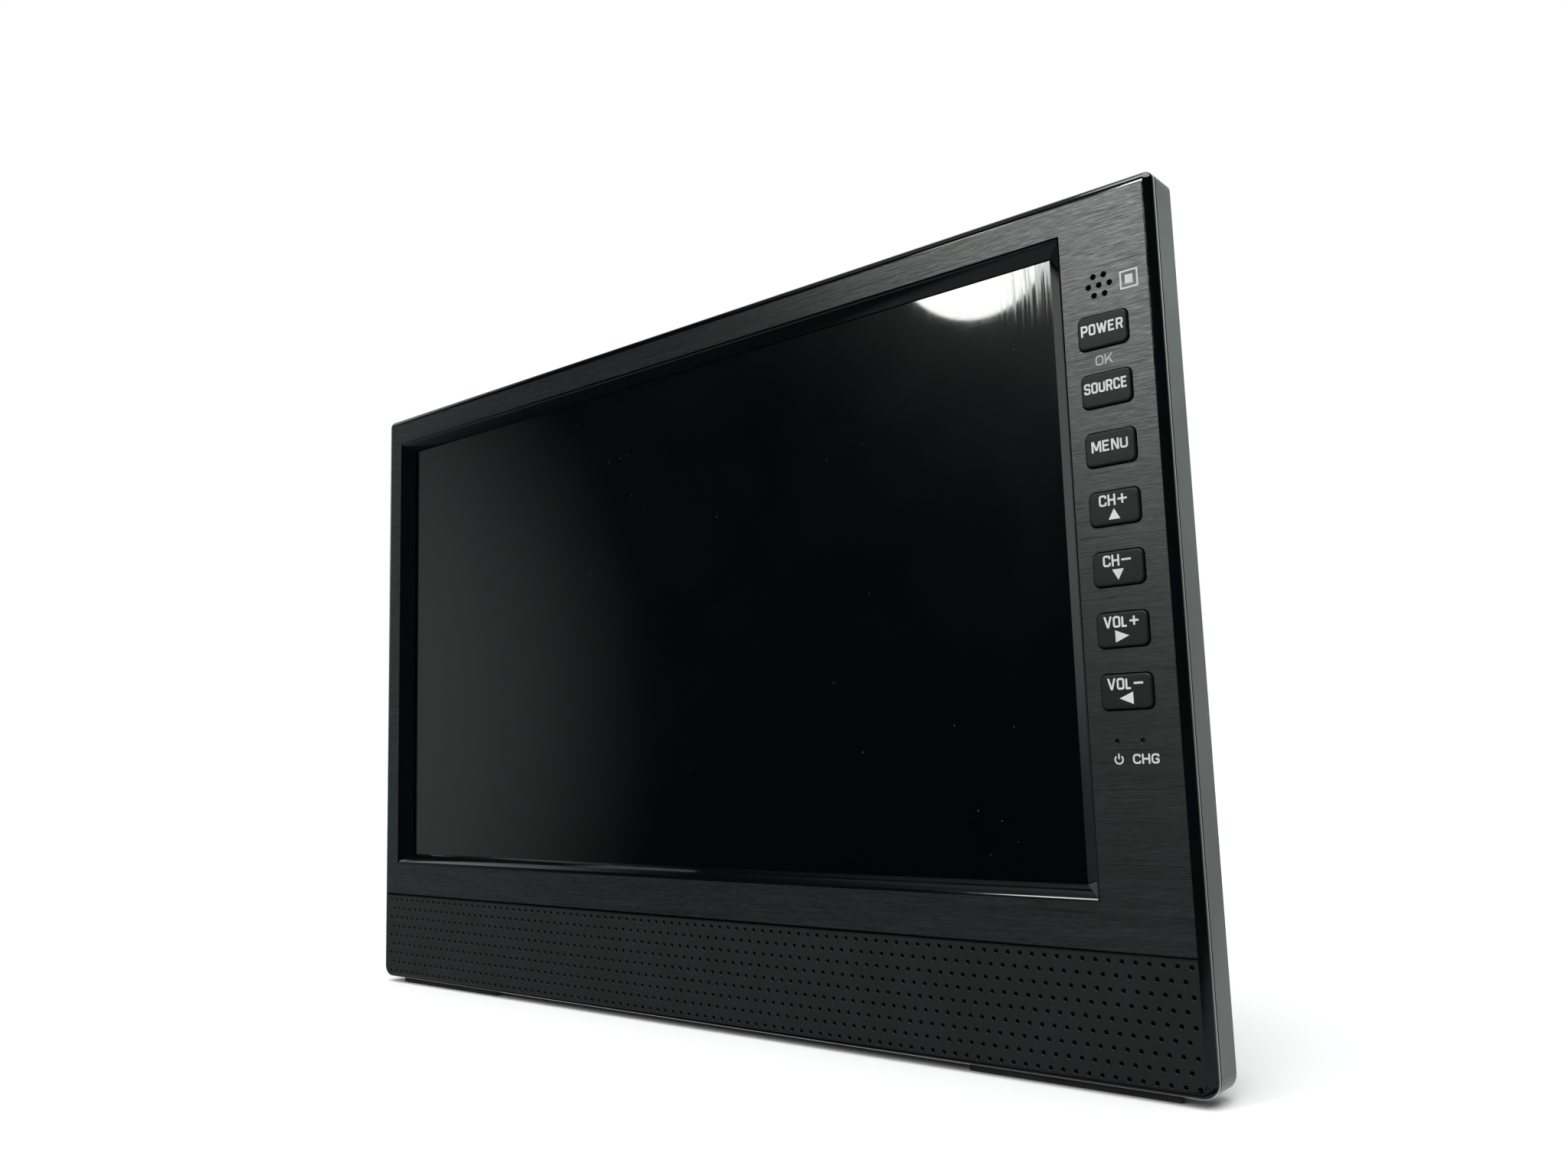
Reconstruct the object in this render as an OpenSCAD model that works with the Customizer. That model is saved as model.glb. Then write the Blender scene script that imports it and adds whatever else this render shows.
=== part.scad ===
// Portable television of the flat nine inch class. A glossy bezel carries a brushed trim
// plate, a dimpled speaker band and seven sprung keys; a bulged rear cover carries the
// folding kickstand and the sockets; the display, boards, battery and speakers lie between.
// X is right as seen from the front, Y is depth from the screen to the back, Z is up.
// The origin is on the surface that the set stands on, under the middle of its box.

/* [Case] */
// Width of the case
case_w = 229.1; // [229:0.1:234]
// Height of the case above its feet
case_h = 153.4; // [153.2:0.1:157]
// Depth from the front face to the back of the rear bulge
case_d = 28; // [28:0.5:32]
// Thickness of the rear cover's walls
wall = 1.5; // [1.3:0.1:1.6]
// Radius of the two upper corners
top_r = 1.6; // [1:0.1:3]
// Radius of the two lower corners
bottom_r = 3; // [2:0.1:5]
// Width of the glossy rounded edge round the front
edge_w = 1.7; // [1.4:0.1:2]
// Depth of the bezel's side, from its face to the parting line
lip_d = 1.7; // [1.5:0.1:1.9]
// Depth at which the sides of the case end and the rear ledge begins
side_d = 9.2; // [9.2:0.1:10]

/* [Screen window] */
// Width of the bevelled window, measured over the bevel's outer edge
window_w = 204.5; // [200:0.1:205]
// Height of the bevelled window, measured over the bevel's outer edge
window_h = 116; // [112:0.1:116.2]
// Distance from the left side of the case to the bevel
window_left = 6.5; // [6.3:0.1:8]
// Distance from the bottom of the case to the bevel
window_bottom = 30; // [29.8:0.1:32]
// Width of the bevel on the left and right
bevel_side = 2.93; // [2:0.01:3.2]
// Height of the bevel along the top and bottom
bevel_end = 2.25; // [1.8:0.01:2.6]
// Thickness of the bezel, which is the depth of the bevel
bezel_t = 2.6; // [2.4:0.1:2.7]

/* [Trim plate and speaker band] */
// Thickness of the brushed trim plate
trim_t = 0.5; // [0.3:0.1:0.8]
// Height of the speaker band's upper edge above the bottom of the case
band_top = 21.9; // [21.5:0.1:22.4]
// Depth of the speaker band's face behind the trim plate's face
band_drop = 0.1; // [0.1:0.1:0.5]
// Horizontal pitch of the band's dimples
dimple_pitch = 2.37; // [2:0.01:3]
// Vertical pitch of the band's dimple rows
row_pitch = 2.325; // [2:0.005:3]
// Distance of the speakers from the middle of the case
speaker_x = 62; // [60:0.5:63]

/* [Keys] */
// Width of a key
key_w = 9.3; // [8:0.1:9.4]
// Height of a key
key_h = 6.1; // [5:0.1:6.4]
// Radius of a key's corners
key_r = 1.1; // [0.8:0.1:2]
// How far a key stands proud of the trim plate
key_proud = 0.6; // [0.55:0.05:0.8]
// How far a key travels when it is pressed
key_travel = 0.5; // [0.3:0.05:0.5]
// Distance of the keys' centre line from the right side of the case
key_inset = 10.4; // [10.2:0.1:10.6]
// Height of the top key's centre above the bottom of the case
key_top = 127; // [126:0.1:127.5]
// Vertical pitch of the keys
key_pitch = 10.42; // [10:0.01:10.6]

/* [Kickstand] */
// Width of the kickstand
stand_w = 74; // [60:1:74]
// Height of the kickstand's pivot above the bottom of the case
pivot_z = 76; // [72:0.5:77]
// Thickness of the kickstand's plate
stand_t = 3; // [2.8:0.1:3]
// Radius of the kickstand's pins
pin_r = 1.5; // [1.2:0.1:1.6]

/* [Feet and sockets] */
// Height of the rubber feet below the case
foot_h = 1.4; // [1:0.1:3]
// Depth of the sockets' centre line behind the front face
socket_d = 17; // [16.8:0.1:17.4]
// Radius of the bore in an audio socket, for a 3.5 mm plug
audio_r = 1.8; // [1.78:0.01:1.85]
// Radius of the aerial socket's threaded barrel
aerial_r = 4.7; // [4:0.1:4.8]

/* [Hidden] */

// Colours
gloss_black = [0.03, 0.03, 0.04];
brushed_black = [0.15, 0.15, 0.16];
matt_black = [0.09, 0.09, 0.1];
key_grey = [0.12, 0.12, 0.13];
screen_black = [0.01, 0.012, 0.015];
board_green = [0.05, 0.25, 0.12];
tinned = [0.7, 0.7, 0.72];

// Curves
$fn = 48;
arc_steps = 6;
overlap = 0.2;
slack = 0.05;

// Case: the local frame has its origin at the bottom of the front face
front_y = -(case_d - key_proud) / 2;
half_w = case_w / 2;
cover_start = lip_d + 0.25;
ledge_t = 1.2;
tongue_gap = 0.15;
tongue_t = 0.8;
tongue_d = 5;
inner_inset = wall + tongue_gap;

// Window
win_x0 = window_left - half_w;
win_x1 = win_x0 + window_w;
win_z0 = window_bottom;
win_z1 = win_z0 + window_h;
open_x0 = win_x0 + bevel_side;
open_x1 = win_x1 - bevel_side;
open_z0 = win_z0 + bevel_end;
open_z1 = win_z1 - bevel_end;

// Trim plate and band
trim_x = half_w - edge_w;
band_z0 = 1.2;
band_gap = 0.05;
band_back = 1.5;
window_land = 0.25;
band_rows = 9;
band_row_top = band_top - 1.6;
hole_r = 0.45;
speaker_z = 11.5;
speaker_open_w = 34;
speaker_open_h = 12;

// Keys
key_x = half_w - key_inset;
key_gap = 0.3;
flange_d = bezel_t + 0.3;
flange_t = 0.5;
flange_over = 0.7;
stem_d = flange_d + flange_t + 0.3;
tact_tip_d = stem_d + key_travel + 0.3;
tact_d = tact_tip_d + 0.4;
key_board_d = 6.4;
key_board_t = 1;
key_board_x0 = half_w - 15.95;
key_board_x1 = half_w - 2.85;
key_board_z0 = 47;
key_board_z1 = 145.5;
key_screw_x = half_w - 5.35;
key_screw_z = [50.6, 141.5];

// Receiver and lamps, placed from the keys' centre line
ir_x = key_x - 0.3;
ir_z = 135.3;
ir_pitch = 1.97;
ir_hole_r = 0.49;
ir_window_r = 2.85;
lamp_x = [key_x - 2.4, key_x + 2.1];
lamp_z = 56.3;
lamp_hole_r = 0.38;
pipe_r = 0.9;

// Display stack, from the gasket back
gasket_d = bezel_t;
glass_d = gasket_d + 0.3;
backlight_d = glass_d + 1.2;
bracket_d = 7;
bracket_t = 0.6;
bracket_back = bracket_d + bracket_t;
lcd_x0 = 2.75 - half_w;
lcd_x1 = half_w - 16.35;
lcd_z0 = 25.8;
lcd_z1 = 150.5;
bracket_ears = [-95, 0, 95];
ear_z = 22.9;

// Rear bulge
bulge_x = half_w - 10.55;
bulge_z1 = 145;
bulge_r = 6;
shoulder_d = case_d - 1.5;
inner_back = case_d - 2;

// Cover screws: two upper ones in posts on the bracket, two lower ones in the bezel
upper_screws = [[-92, 136], [92, 136]];
lower_screws = [[-94, 11], [94, 11]];
upper_seat = case_d - 4;
lower_seat = 12;
seat_t = 2;
well_r = 3.4;
cover_pilot_r = 1.25;

// Main board and what stands on it
board_d = 12;
board_t = 1.6;
board_back = board_d + board_t;
board_x0 = -98.2;
board_x1 = -14;
board_z0 = 42;
board_z1 = 128;
board_screw_at = [[-96, 46], [-18, 46], [-96, 124], [-40, 124]];
processor_at = [-52, 88];
processor_size = 20;
processor_t = 1.6;
sink_size = 22;
capacitor_at = [[-32, 54], [-32, 62], [-40, 54], [-40, 62]];
wire_socket_z = [71.5, 84, 98];
ribbon_x = -80;
ribbon_w = 28;

// Blank rating label on the back
label_z = 96;
label_w = 52;
label_h = 16;
label_t = 0.2;

// Sockets along the left side of the bulge
mouth_x = 0.8 - bulge_x;
aerial_z = 114;
usb_z = 98;
card_z = 84;
av_z = 73;
headphone_z = 62.5;
dc_z = 53;
aerial_reach = 8;
aerial_collar_r = aerial_r + 0.9;
block_inset = 2.7;

// Battery
cell_w = 40;
cell_h = 78;
cell_t = 8.4;
cell_x = [15, 56];
cell_z = 40;
cell_d = bracket_back + 0.2;
clamp_z = 72;
clamp_h = 12;
clamp_t = 0.8;

// Kickstand
stand_d = case_d - stand_t;
barrel_r = 2.6;
pivot_d = case_d - barrel_r;
stand_x = stand_w / 2;
stand_z0 = 13.6;
recess_gap = 0.6;
recess_floor = stand_d - 0.4;
recess_z0 = 12;
floor_t = 1.7;
pin_in = 7;
pin_out = 5.4;

// Feet
foot_in = 0.6;
feet = [[68, 108, 2.2, 8, 0], [60, 90, 16, 23, 0.3]];

// Places its children, drawn in the case's own frame, in the shared frame
module in_case() {
    translate([0, front_y, foot_h]) children();
}

function arc(x, z, r, start) =
    r == 0 ? [[x, z]]
    : [for (i = [0:arc_steps])
        [x + r * cos(start + 90 * i / arc_steps), z + r * sin(start + 90 * i / arc_steps)]];

// A rectangle with its own radius for the lower and for the upper corners
module panel(x0, x1, z0, z1, low_r = 0, high_r = 0) {
    polygon(concat(
        arc(x1 - high_r, z1 - high_r, high_r, 0), arc(x0 + high_r, z1 - high_r, high_r, 90),
        arc(x0 + low_r, z0 + low_r, low_r, 180), arc(x1 - low_r, z0 + low_r, low_r, 270)));
}

// A rectangle given by its centre
module centred_panel(x, z, w, h, r = 0) {
    panel(x - w / 2, x + w / 2, z - h / 2, z + h / 2, r, r);
}

// The outline of the case, pulled in by inset
module case_outline(inset = 0) {
    panel(inset - half_w, half_w - inset, inset, case_h - inset,
        max(bottom_r - inset, 0.5), max(top_r - inset, 0.5));
}

// Gives a flat outline its depth, from d0 to d1 behind the front face
module slab(d0, d1) {
    translate([0, d1, 0]) rotate([90, 0, 0]) linear_extrude(d1 - d0) children();
}

// A round bar along the depth
module bar(x, z, d0, d1, r) {
    translate([x, d0, z]) rotate([-90, 0, 0]) cylinder(h = d1 - d0, r = r);
}

// A round bar along the width
module axle(x0, x1, d, z, r) {
    translate([x0, d, z]) rotate([0, 90, 0]) cylinder(h = x1 - x0, r = r);
}

// A screw that is driven from the back: its head rests on seat
module screw(x, z, seat, head_r, head_t, shank_r, length) {
    difference() {
        union() {
            bar(x, z, seat, seat + head_t, head_r);
            bar(x, z, seat - length, seat + overlap, shank_r);
        }
        for (turn = [0, 90])
            translate([x, seat + head_t, z]) rotate([0, turn, 0])
                cube([head_r * 1.1, head_t, head_r * 0.3], center = true);
    }
}

// A lead of axis-aligned runs with round corners
module lead(points, r) {
    for (i = [0:len(points) - 2]) {
        run = points[i + 1] - points[i];
        turn = abs(run[0]) > 0 ? [0, 90, 0] : abs(run[1]) > 0 ? [90, 0, 0] : [0, 0, 0];
        translate((points[i] + points[i + 1]) / 2) rotate(turn)
            cylinder(h = norm(run), r = r, center = true, $fn = 16);
        if (i > 0) translate(points[i]) sphere(r = r, $fn = 16);
    }
}

function key_z(i) = key_top - key_pitch * i;

// The seven holes of the receiver's window
function ir_holes() = concat([[ir_x, ir_z]],
    [for (a = [0:60:300]) [ir_x + ir_pitch * cos(a), ir_z + ir_pitch * sin(a)]]);

// The dimples that are pierced in front of one speaker
function pierced(side) = [
    for (row = [0:band_rows - 1])
        for (i = [-8:8])
            let (x = side * speaker_x + (i + (row % 2) / 2) * dimple_pitch,
                z = band_row_top - row * row_pitch)
            if (abs(x - side * speaker_x) < speaker_open_w / 2 - 1
                && abs(z - speaker_z) < speaker_open_h / 2 - 1) [x, z]
];

module bezel_boss(x, z, back, r) {
    bar(x, z, bezel_t - overlap, back, r);
}

module front_bezel() {
    color(gloss_black) in_case() difference() {
        union() {
            hull() {
                slab(0, 0.1) case_outline(edge_w - 0.1);
                slab(0.35, lip_d - 0.6) case_outline(0.45);
                slab(lip_d - 0.6, lip_d) case_outline(0);
            }
            slab(lip_d - overlap, bezel_t) case_outline(inner_inset);
            slab(bezel_t - overlap, tongue_d) difference() {
                case_outline(inner_inset);
                case_outline(inner_inset + tongue_t);
            }
            for (x = bracket_ears) bezel_boss(x, ear_z, bracket_d, 2.2);
            for (z = key_screw_z) bezel_boss(key_screw_x, z, key_board_d, 1.9);
            for (at = lower_screws) bezel_boss(at[0], at[1], lower_seat - seat_t, 3.2);
            for (side = [-1, 1]) for (end = [-1, 1])
                bezel_boss(side * speaker_x + end * 23.5, speaker_z, 5, 1.9);
        }
        hull() {
            slab(-0.1, 0) panel(win_x0, win_x1, win_z0, win_z1);
            slab(bezel_t, bezel_t + 0.1) panel(open_x0, open_x1, open_z0, open_z1);
        }
        slab(-1, trim_t) difference() {
            panel(-trim_x - band_gap, trim_x + band_gap, band_top, case_h - edge_w + band_gap);
            panel(win_x0 - window_land + band_gap, win_x1 + window_land - band_gap,
                win_z0 - window_land + band_gap, win_z1 + window_land - band_gap);
        }
        slab(-1, band_back) panel(-trim_x - band_gap, trim_x + band_gap,
            band_z0 - band_gap, band_top + band_gap);
        for (i = [0:6]) slab(-1, bezel_t + 1)
            centred_panel(key_x, key_z(i), key_w + 2 * key_gap, key_h + 2 * key_gap, key_r);
        bar(ir_x, ir_z, 0, bezel_t + 1, ir_window_r + slack);
        for (x = lamp_x) bar(x, lamp_z, 0, bezel_t + 1, pipe_r + slack);
        for (side = [-1, 1]) slab(band_back - 1, bezel_t + 1)
            centred_panel(side * speaker_x, speaker_z, speaker_open_w, speaker_open_h, 5);
        for (x = bracket_ears) bar(x, ear_z, 3.2, bracket_d + 1, 0.9);
        for (z = key_screw_z) bar(key_screw_x, z, 3.2, key_board_d + 1, 0.8);
        for (at = lower_screws) bar(at[0], at[1], 3.5, lower_seat, cover_pilot_r);
        for (side = [-1, 1]) for (end = [-1, 1])
            bar(side * speaker_x + end * 23.5, speaker_z, 3.2, 6, 0.8);
    }
}

module trim_plate() {
    color(brushed_black) in_case() slab(0, trim_t) difference() {
        panel(-trim_x, trim_x, band_top + band_gap, case_h - edge_w, 0, 0.6);
        panel(win_x0 - window_land, win_x1 + window_land, win_z0 - window_land, win_z1 + window_land);
        for (i = [0:6])
            centred_panel(key_x, key_z(i), key_w + 2 * key_gap, key_h + 2 * key_gap, key_r + key_gap);
        for (at = ir_holes()) translate(at) circle(r = ir_hole_r, $fn = 12);
        for (x = lamp_x) translate([x, lamp_z]) circle(r = lamp_hole_r, $fn = 12);
    }
}

module speaker_grille() {
    color(matt_black) in_case() slab(band_drop, band_back) difference() {
        panel(-trim_x, trim_x, band_z0, band_top - band_gap, 1.2, 0);
        for (side = [-1, 1]) for (at = pierced(side))
            translate(at) circle(r = hole_r, $fn = 8);
    }
}

module screen_gasket() {
    color("black") in_case() slab(gasket_d, glass_d) difference() {
        panel(lcd_x0 + 1, lcd_x1 - 1, lcd_z0 + 1, lcd_z1 - 1);
        panel(open_x0 - 0.4, open_x1 + 0.4, open_z0 - 0.4, open_z1 + 0.4);
    }
}

module lcd_glass() {
    color(screen_black) in_case() slab(glass_d, backlight_d) panel(lcd_x0, lcd_x1, lcd_z0, lcd_z1);
}

module lcd_backlight() {
    color("gainsboro") in_case() slab(backlight_d, bracket_d)
        panel(lcd_x0 + 0.3, lcd_x1 - 0.3, lcd_z0 + 0.3, lcd_z1 - 0.3);
}

module lcd_bracket() {
    color(tinned) in_case() slab(bracket_d, bracket_back) difference() {
        union() {
            panel(lcd_x0 + 0.3, lcd_x1 - 0.3, lcd_z0 + 0.3, lcd_z1 - 0.3, 2, 2);
            for (x = bracket_ears) centred_panel(x, ear_z + 1, 9, 6.4, 1.5);
        }
        for (x = bracket_ears) translate([x, ear_z]) circle(r = 1.1);
        centred_panel(-55, 34, 40, 8, 2);
        centred_panel(-4, 80, 16, 60, 3);
    }
}

module bracket_posts() {
    color(tinned) in_case() {
        for (at = upper_screws) difference() {
            bar(at[0], at[1], bracket_back, upper_seat - seat_t, 3);
            bar(at[0], at[1], 15, upper_seat, cover_pilot_r);
        }
        for (at = board_screw_at) difference() {
            bar(at[0], at[1], bracket_back, board_d, 2.4);
            bar(at[0], at[1], 8.5, board_d + 1, 1.25);
        }
    }
}

module bracket_screws() {
    color(tinned) in_case() for (x = bracket_ears) screw(x, ear_z, bracket_back, 1.7, 1, 0.85, 3.8);
}

module main_board() {
    color(board_green) in_case() slab(board_d, board_back) difference() {
        panel(board_x0, board_x1, board_z0, board_z1, 1, 1);
        for (at = board_screw_at) translate(at) circle(r = 1.4);
    }
}

module board_screws() {
    color(tinned) in_case() for (at = board_screw_at) screw(at[0], at[1], board_back, 2.2, 1.3, 1.2, 4.4);
}

module processor() {
    color("dimgray") in_case() slab(board_back, board_back + processor_t)
        centred_panel(processor_at[0], processor_at[1], processor_size, processor_size, 0.5);
}

module heat_sink() {
    base_d = board_back + processor_t;
    fins = 7;
    pitch = (sink_size - 1) / (fins - 1);
    color("silver") in_case() union() {
        slab(base_d, base_d + 1.2) centred_panel(processor_at[0], processor_at[1], sink_size, sink_size);
        for (i = [0:fins - 1]) slab(base_d + 1, base_d + 5)
            centred_panel(processor_at[0] + (i - (fins - 1) / 2) * pitch, processor_at[1], 1, sink_size);
    }
}

module tuner_can() {
    color(tinned) in_case() slab(board_back, board_back + 6) panel(-86, -58, aerial_z - 8, aerial_z + 8, 0.5, 0.5);
}

module board_capacitors() {
    color("midnightblue") in_case() for (at = capacitor_at) bar(at[0], at[1], board_back, board_back + 6.5, 3.15);
}

module wire_sockets() {
    color("ivory") in_case() {
        for (z = wire_socket_z) slab(board_back, board_back + 5) panel(board_x1 - 6, board_x1, z - 4, z + 4);
        slab(board_back, board_back + 1.8) panel(board_x1 - 12, board_x1 - 4, 118.6, 127.4);
        slab(board_d - 1.8, board_d) panel(ribbon_x - 2, ribbon_x + ribbon_w + 2, 46, 50);
    }
}

// A flat cable folded round the lower edge of the display up to the main board
module display_ribbon() {
    t = 0.25;
    profile = [[5, 25.5], [5, 24.5], [9.5, 24.5], [board_d - 1.2, 46]];
    inner = [[board_d - 1.2 - t, 46], [9.5 - t, 24.5 + t], [5 + t, 24.5 + t], [5 + t, 25.5]];
    color("goldenrod") in_case() translate([ribbon_x, 0, 0]) rotate([90, 0, 90])
        linear_extrude(ribbon_w) polygon(concat(profile, inner));
}

module key_board() {
    color(board_green) in_case() slab(key_board_d, key_board_d + key_board_t) difference() {
        panel(key_board_x0, key_board_x1, key_board_z0, key_board_z1, 0.5, 0.5);
        for (z = key_screw_z) translate([key_screw_x, z]) circle(r = 1.1);
    }
}

module key_board_screws() {
    color(tinned) in_case() for (z = key_screw_z)
        screw(key_screw_x, z, key_board_d + key_board_t, 1.6, 0.5, 0.75, 3.8);
}

module tact_switches() {
    color("silver") in_case() for (i = [0:6]) union() {
        slab(tact_d, key_board_d) centred_panel(key_x, key_z(i), 5.2, 5.2, 0.4);
        bar(key_x, key_z(i), tact_tip_d, tact_d + overlap, 1.3);
    }
}

// A flat cable from the back of the key board, over the bracket, to the main board
module key_ribbon() {
    t = 0.2;
    start_d = key_board_d + key_board_t;
    run_d = bracket_back + 0.2;
    end_d = board_back + 0.9;
    back = [[key_board_x0 + 6, start_d], [key_board_x0 + 6, start_d + t], [lcd_x1, run_d + t],
        [board_x1 + 3.2, run_d + t], [board_x1 + 3.2, end_d + t], [board_x1 - 4, end_d + t]];
    face = [[board_x1 - 4, end_d], [board_x1 + 3, end_d], [board_x1 + 3, run_d],
        [lcd_x1, run_d], [key_board_x0 + 0.4, start_d]];
    color("goldenrod") in_case() translate([0, 0, 120]) linear_extrude(6) polygon(concat(back, face));
}

// One key: a cap with an eased edge, a flange behind the bezel, and a stem over its switch
module key(i) {
    z = key_z(i);
    color(key_grey) in_case() union() {
        hull() {
            slab(-key_proud, 0) centred_panel(key_x, z, key_w - 0.5, key_h - 0.5, key_r - 0.25);
            slab(0.25 - key_proud, 0.5) centred_panel(key_x, z, key_w, key_h, key_r);
        }
        slab(0.4, flange_d + overlap) centred_panel(key_x, z, key_w, key_h, key_r);
        slab(flange_d, flange_d + flange_t)
            centred_panel(key_x, z, key_w + 2 * flange_over, key_h + 2 * flange_over, key_r);
        bar(key_x, z, flange_d, stem_d, 1.6);
    }
}

module ir_receiver() {
    color([0.1, 0.05, 0.05]) in_case() union() {
        slab(3.6, key_board_d) centred_panel(ir_x, ir_z, 5.4, 6, 0.4);
        bar(ir_x, ir_z, 2.9, 4, 2.2);
    }
}

module ir_window() {
    color([0.12, 0.01, 0.02]) in_case() bar(ir_x, ir_z, trim_t + 0.05, 2.4, ir_window_r);
}

module light_pipes() {
    color([0.85, 0.9, 0.85]) in_case() for (x = lamp_x) union() {
        bar(x, lamp_z, trim_t + 0.05, 5.2, pipe_r);
        bar(x, lamp_z, bezel_t + 0.05, 3.2, 1.5);
    }
}

// A lamp on the key board, behind its light pipe
module lamp(x) {
    in_case() union() {
        slab(5.7, key_board_d) centred_panel(x, lamp_z, 2.6, 1.6, 0.2);
        bar(x, lamp_z, 5.3, 5.9, 0.6);
    }
}

module power_led() {
    color("palegreen") lamp(lamp_x[0]);
}

module charge_led() {
    color("tomato") lamp(lamp_x[1]);
}

// The frame of one speaker: a rim against the bezel, ears for the screws, and a basket
module speaker_frame(side) {
    x = side * speaker_x;
    color("darkslategray") in_case() difference() {
        union() {
            slab(bezel_t + 0.1, 6.2) centred_panel(x, speaker_z, 42, 17, 8.4);
            slab(5, 6.2) centred_panel(x, speaker_z, 52, 6, 3);
            slab(6, 10) centred_panel(x, speaker_z, 36, 14.6, 7.2);
        }
        slab(bezel_t, 5.4) centred_panel(x, speaker_z, 38.6, 14, 6.9);
        slab(5, 8.8) centred_panel(x, speaker_z, 33, 11.6, 5.8);
        for (end = [-1, 1]) {
            bar(x + end * 23.5, speaker_z, 4, 8, 1.1);
            bar(x + end * 23.5, speaker_z, bezel_t, 5, 2.1);
        }
    }
}

// The moving cone of one speaker, with its raised middle
module speaker_cone(side) {
    x = side * speaker_x;
    color([0.16, 0.16, 0.16]) in_case() union() {
        slab(3.6, 4.4) centred_panel(x, speaker_z, 38, 13.4, 6.6);
        bar(x, speaker_z, 3.1, 3.8, 4);
        bar(x, speaker_z, 4.2, 8.4, 3.2);
    }
}

module speaker_magnet(side) {
    color("slategray") in_case() bar(side * speaker_x, speaker_z, 10, 14.5, 7);
}

module speaker_screws() {
    color(tinned) in_case() for (side = [-1, 1]) for (end = [-1, 1])
        screw(side * speaker_x + end * 23.5, speaker_z, 6.2, 1.7, 1, 0.75, 2.8);
}

module speaker_leads() {
    color("firebrick") in_case() {
        lead([[-45, 10, 16.4], [-45, 10, 30], [-10, 10, 30], [-10, 10, 70], [-10, 16, 70],
            [board_x1, 16, 70]], 0.8);
        lead([[45, 10, 16.4], [45, 10, 27], [-7, 10, 27], [-7, 10, 73], [-7, 16, 73],
            [board_x1, 16, 73]], 0.8);
    }
}

module battery_cells() {
    color("steelblue") in_case() for (x = cell_x) slab(cell_d, cell_d + cell_t)
        panel(x, x + cell_w, cell_z, cell_z + cell_h, 2, 2);
}

// A sheet clamp over both cells, with a foot on the bracket at each end
module battery_clamp() {
    x0 = cell_x[0] - 0.4;
    x1 = cell_x[1] + cell_w + 0.4;
    top_d = cell_d + cell_t + 0.1;
    foot = 2.2;
    color(tinned) in_case() translate([0, 0, clamp_z]) linear_extrude(clamp_h) polygon([
        [x0 - foot - clamp_t, bracket_back], [x0, bracket_back], [x0, top_d], [x1, top_d],
        [x1, bracket_back], [x1 + foot - 0.6, bracket_back], [x1 + foot - 0.6, bracket_back + clamp_t],
        [x1 + clamp_t, bracket_back + clamp_t], [x1 + clamp_t, top_d + clamp_t],
        [x0 - clamp_t, top_d + clamp_t], [x0 - clamp_t, bracket_back + clamp_t],
        [x0 - foot - clamp_t, bracket_back + clamp_t]]);
}

module battery_lead() {
    color("firebrick") in_case()
        lead([[cell_x[0], 12, 96], [-6, 12, 96], [-6, 16, 96], [board_x1, 16, 96]], 0.9);
}

// The aerial's threaded barrel, its collar through the cover, its flange and its block
module antenna_socket() {
    collar_x = aerial_reach - 0.4;
    flange_x = aerial_reach + block_inset;
    block_x = flange_x + 1.8;
    flange_r = aerial_collar_r + 1.1;
    pin_hole_r = 1.2;
    chamfer = 0.5;
    color("gold") in_case() union() {
        translate([mouth_x - aerial_reach, socket_d, aerial_z]) rotate([0, 90, 0])
            rotate_extrude() polygon([
                [pin_hole_r, 0], [aerial_r - chamfer, 0], [aerial_r, chamfer],
                [aerial_r, collar_x], [aerial_collar_r, collar_x], [aerial_collar_r, flange_x],
                [flange_r, flange_x], [flange_r, block_x], [0, block_x],
                [0, flange_x - 2], [pin_hole_r, flange_x - 2]]);
        translate([mouth_x - aerial_reach + block_x, board_back, aerial_z - 3.4])
            cube([12, 6, 6.8]);
    }
}

module usb_socket() {
    color("silver") in_case() union() {
        difference() {
            translate([mouth_x, socket_d - 2.9, usb_z - 6.6]) cube([14, 5.8, 13.2]);
            translate([mouth_x - 1, socket_d - 2.55, usb_z - 6.25]) cube([12.5, 5.1, 12.5]);
        }
        translate([mouth_x + 1.6, socket_d - 2.1, usb_z - 5.5]) cube([11, 1.8, 11]);
    }
}

module card_socket() {
    color("silver") in_case() difference() {
        translate([mouth_x, board_back, card_z - 7]) cube([15, 1.9, 14]);
        translate([mouth_x - 1, board_back + 0.45, card_z - 5.6]) cube([14, 1, 11.2]);
    }
}

// A 3.5 mm socket: a block with a round nose through the cover
module audio_socket(z) {
    difference() {
        union() {
            translate([mouth_x + block_inset, board_back, z - 3.2]) cube([11, 6.4, 6.4]);
            axle(mouth_x, mouth_x + block_inset + overlap, socket_d, z, 2.9);
        }
        axle(mouth_x - 1, mouth_x + 12, socket_d, z, audio_r);
    }
}

module av_socket() {
    color("gold") in_case() audio_socket(av_z);
}

module headphone_socket() {
    color("black") in_case() audio_socket(headphone_z);
}

module dc_socket() {
    color("black") in_case() union() {
        difference() {
            union() {
                translate([mouth_x + block_inset, board_back, dc_z - 4.4]) cube([11, 7.4, 8.8]);
                axle(mouth_x, mouth_x + block_inset + overlap, socket_d, dc_z, 3.6);
            }
            axle(mouth_x - 1, mouth_x + 9.5, socket_d, dc_z, 2.75);
        }
        axle(mouth_x + 1, mouth_x + 10, socket_d, dc_z, 1.05);
    }
}

// A field of upright slots, cut through the rear wall
module vents(x, z, count, pitch, w, h) {
    for (i = [0:count - 1]) slab(inner_back - 3, case_d + 1)
        centred_panel(x + (i - (count - 1) / 2) * pitch, z, w, h, w / 2 - 0.01);
}

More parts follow.
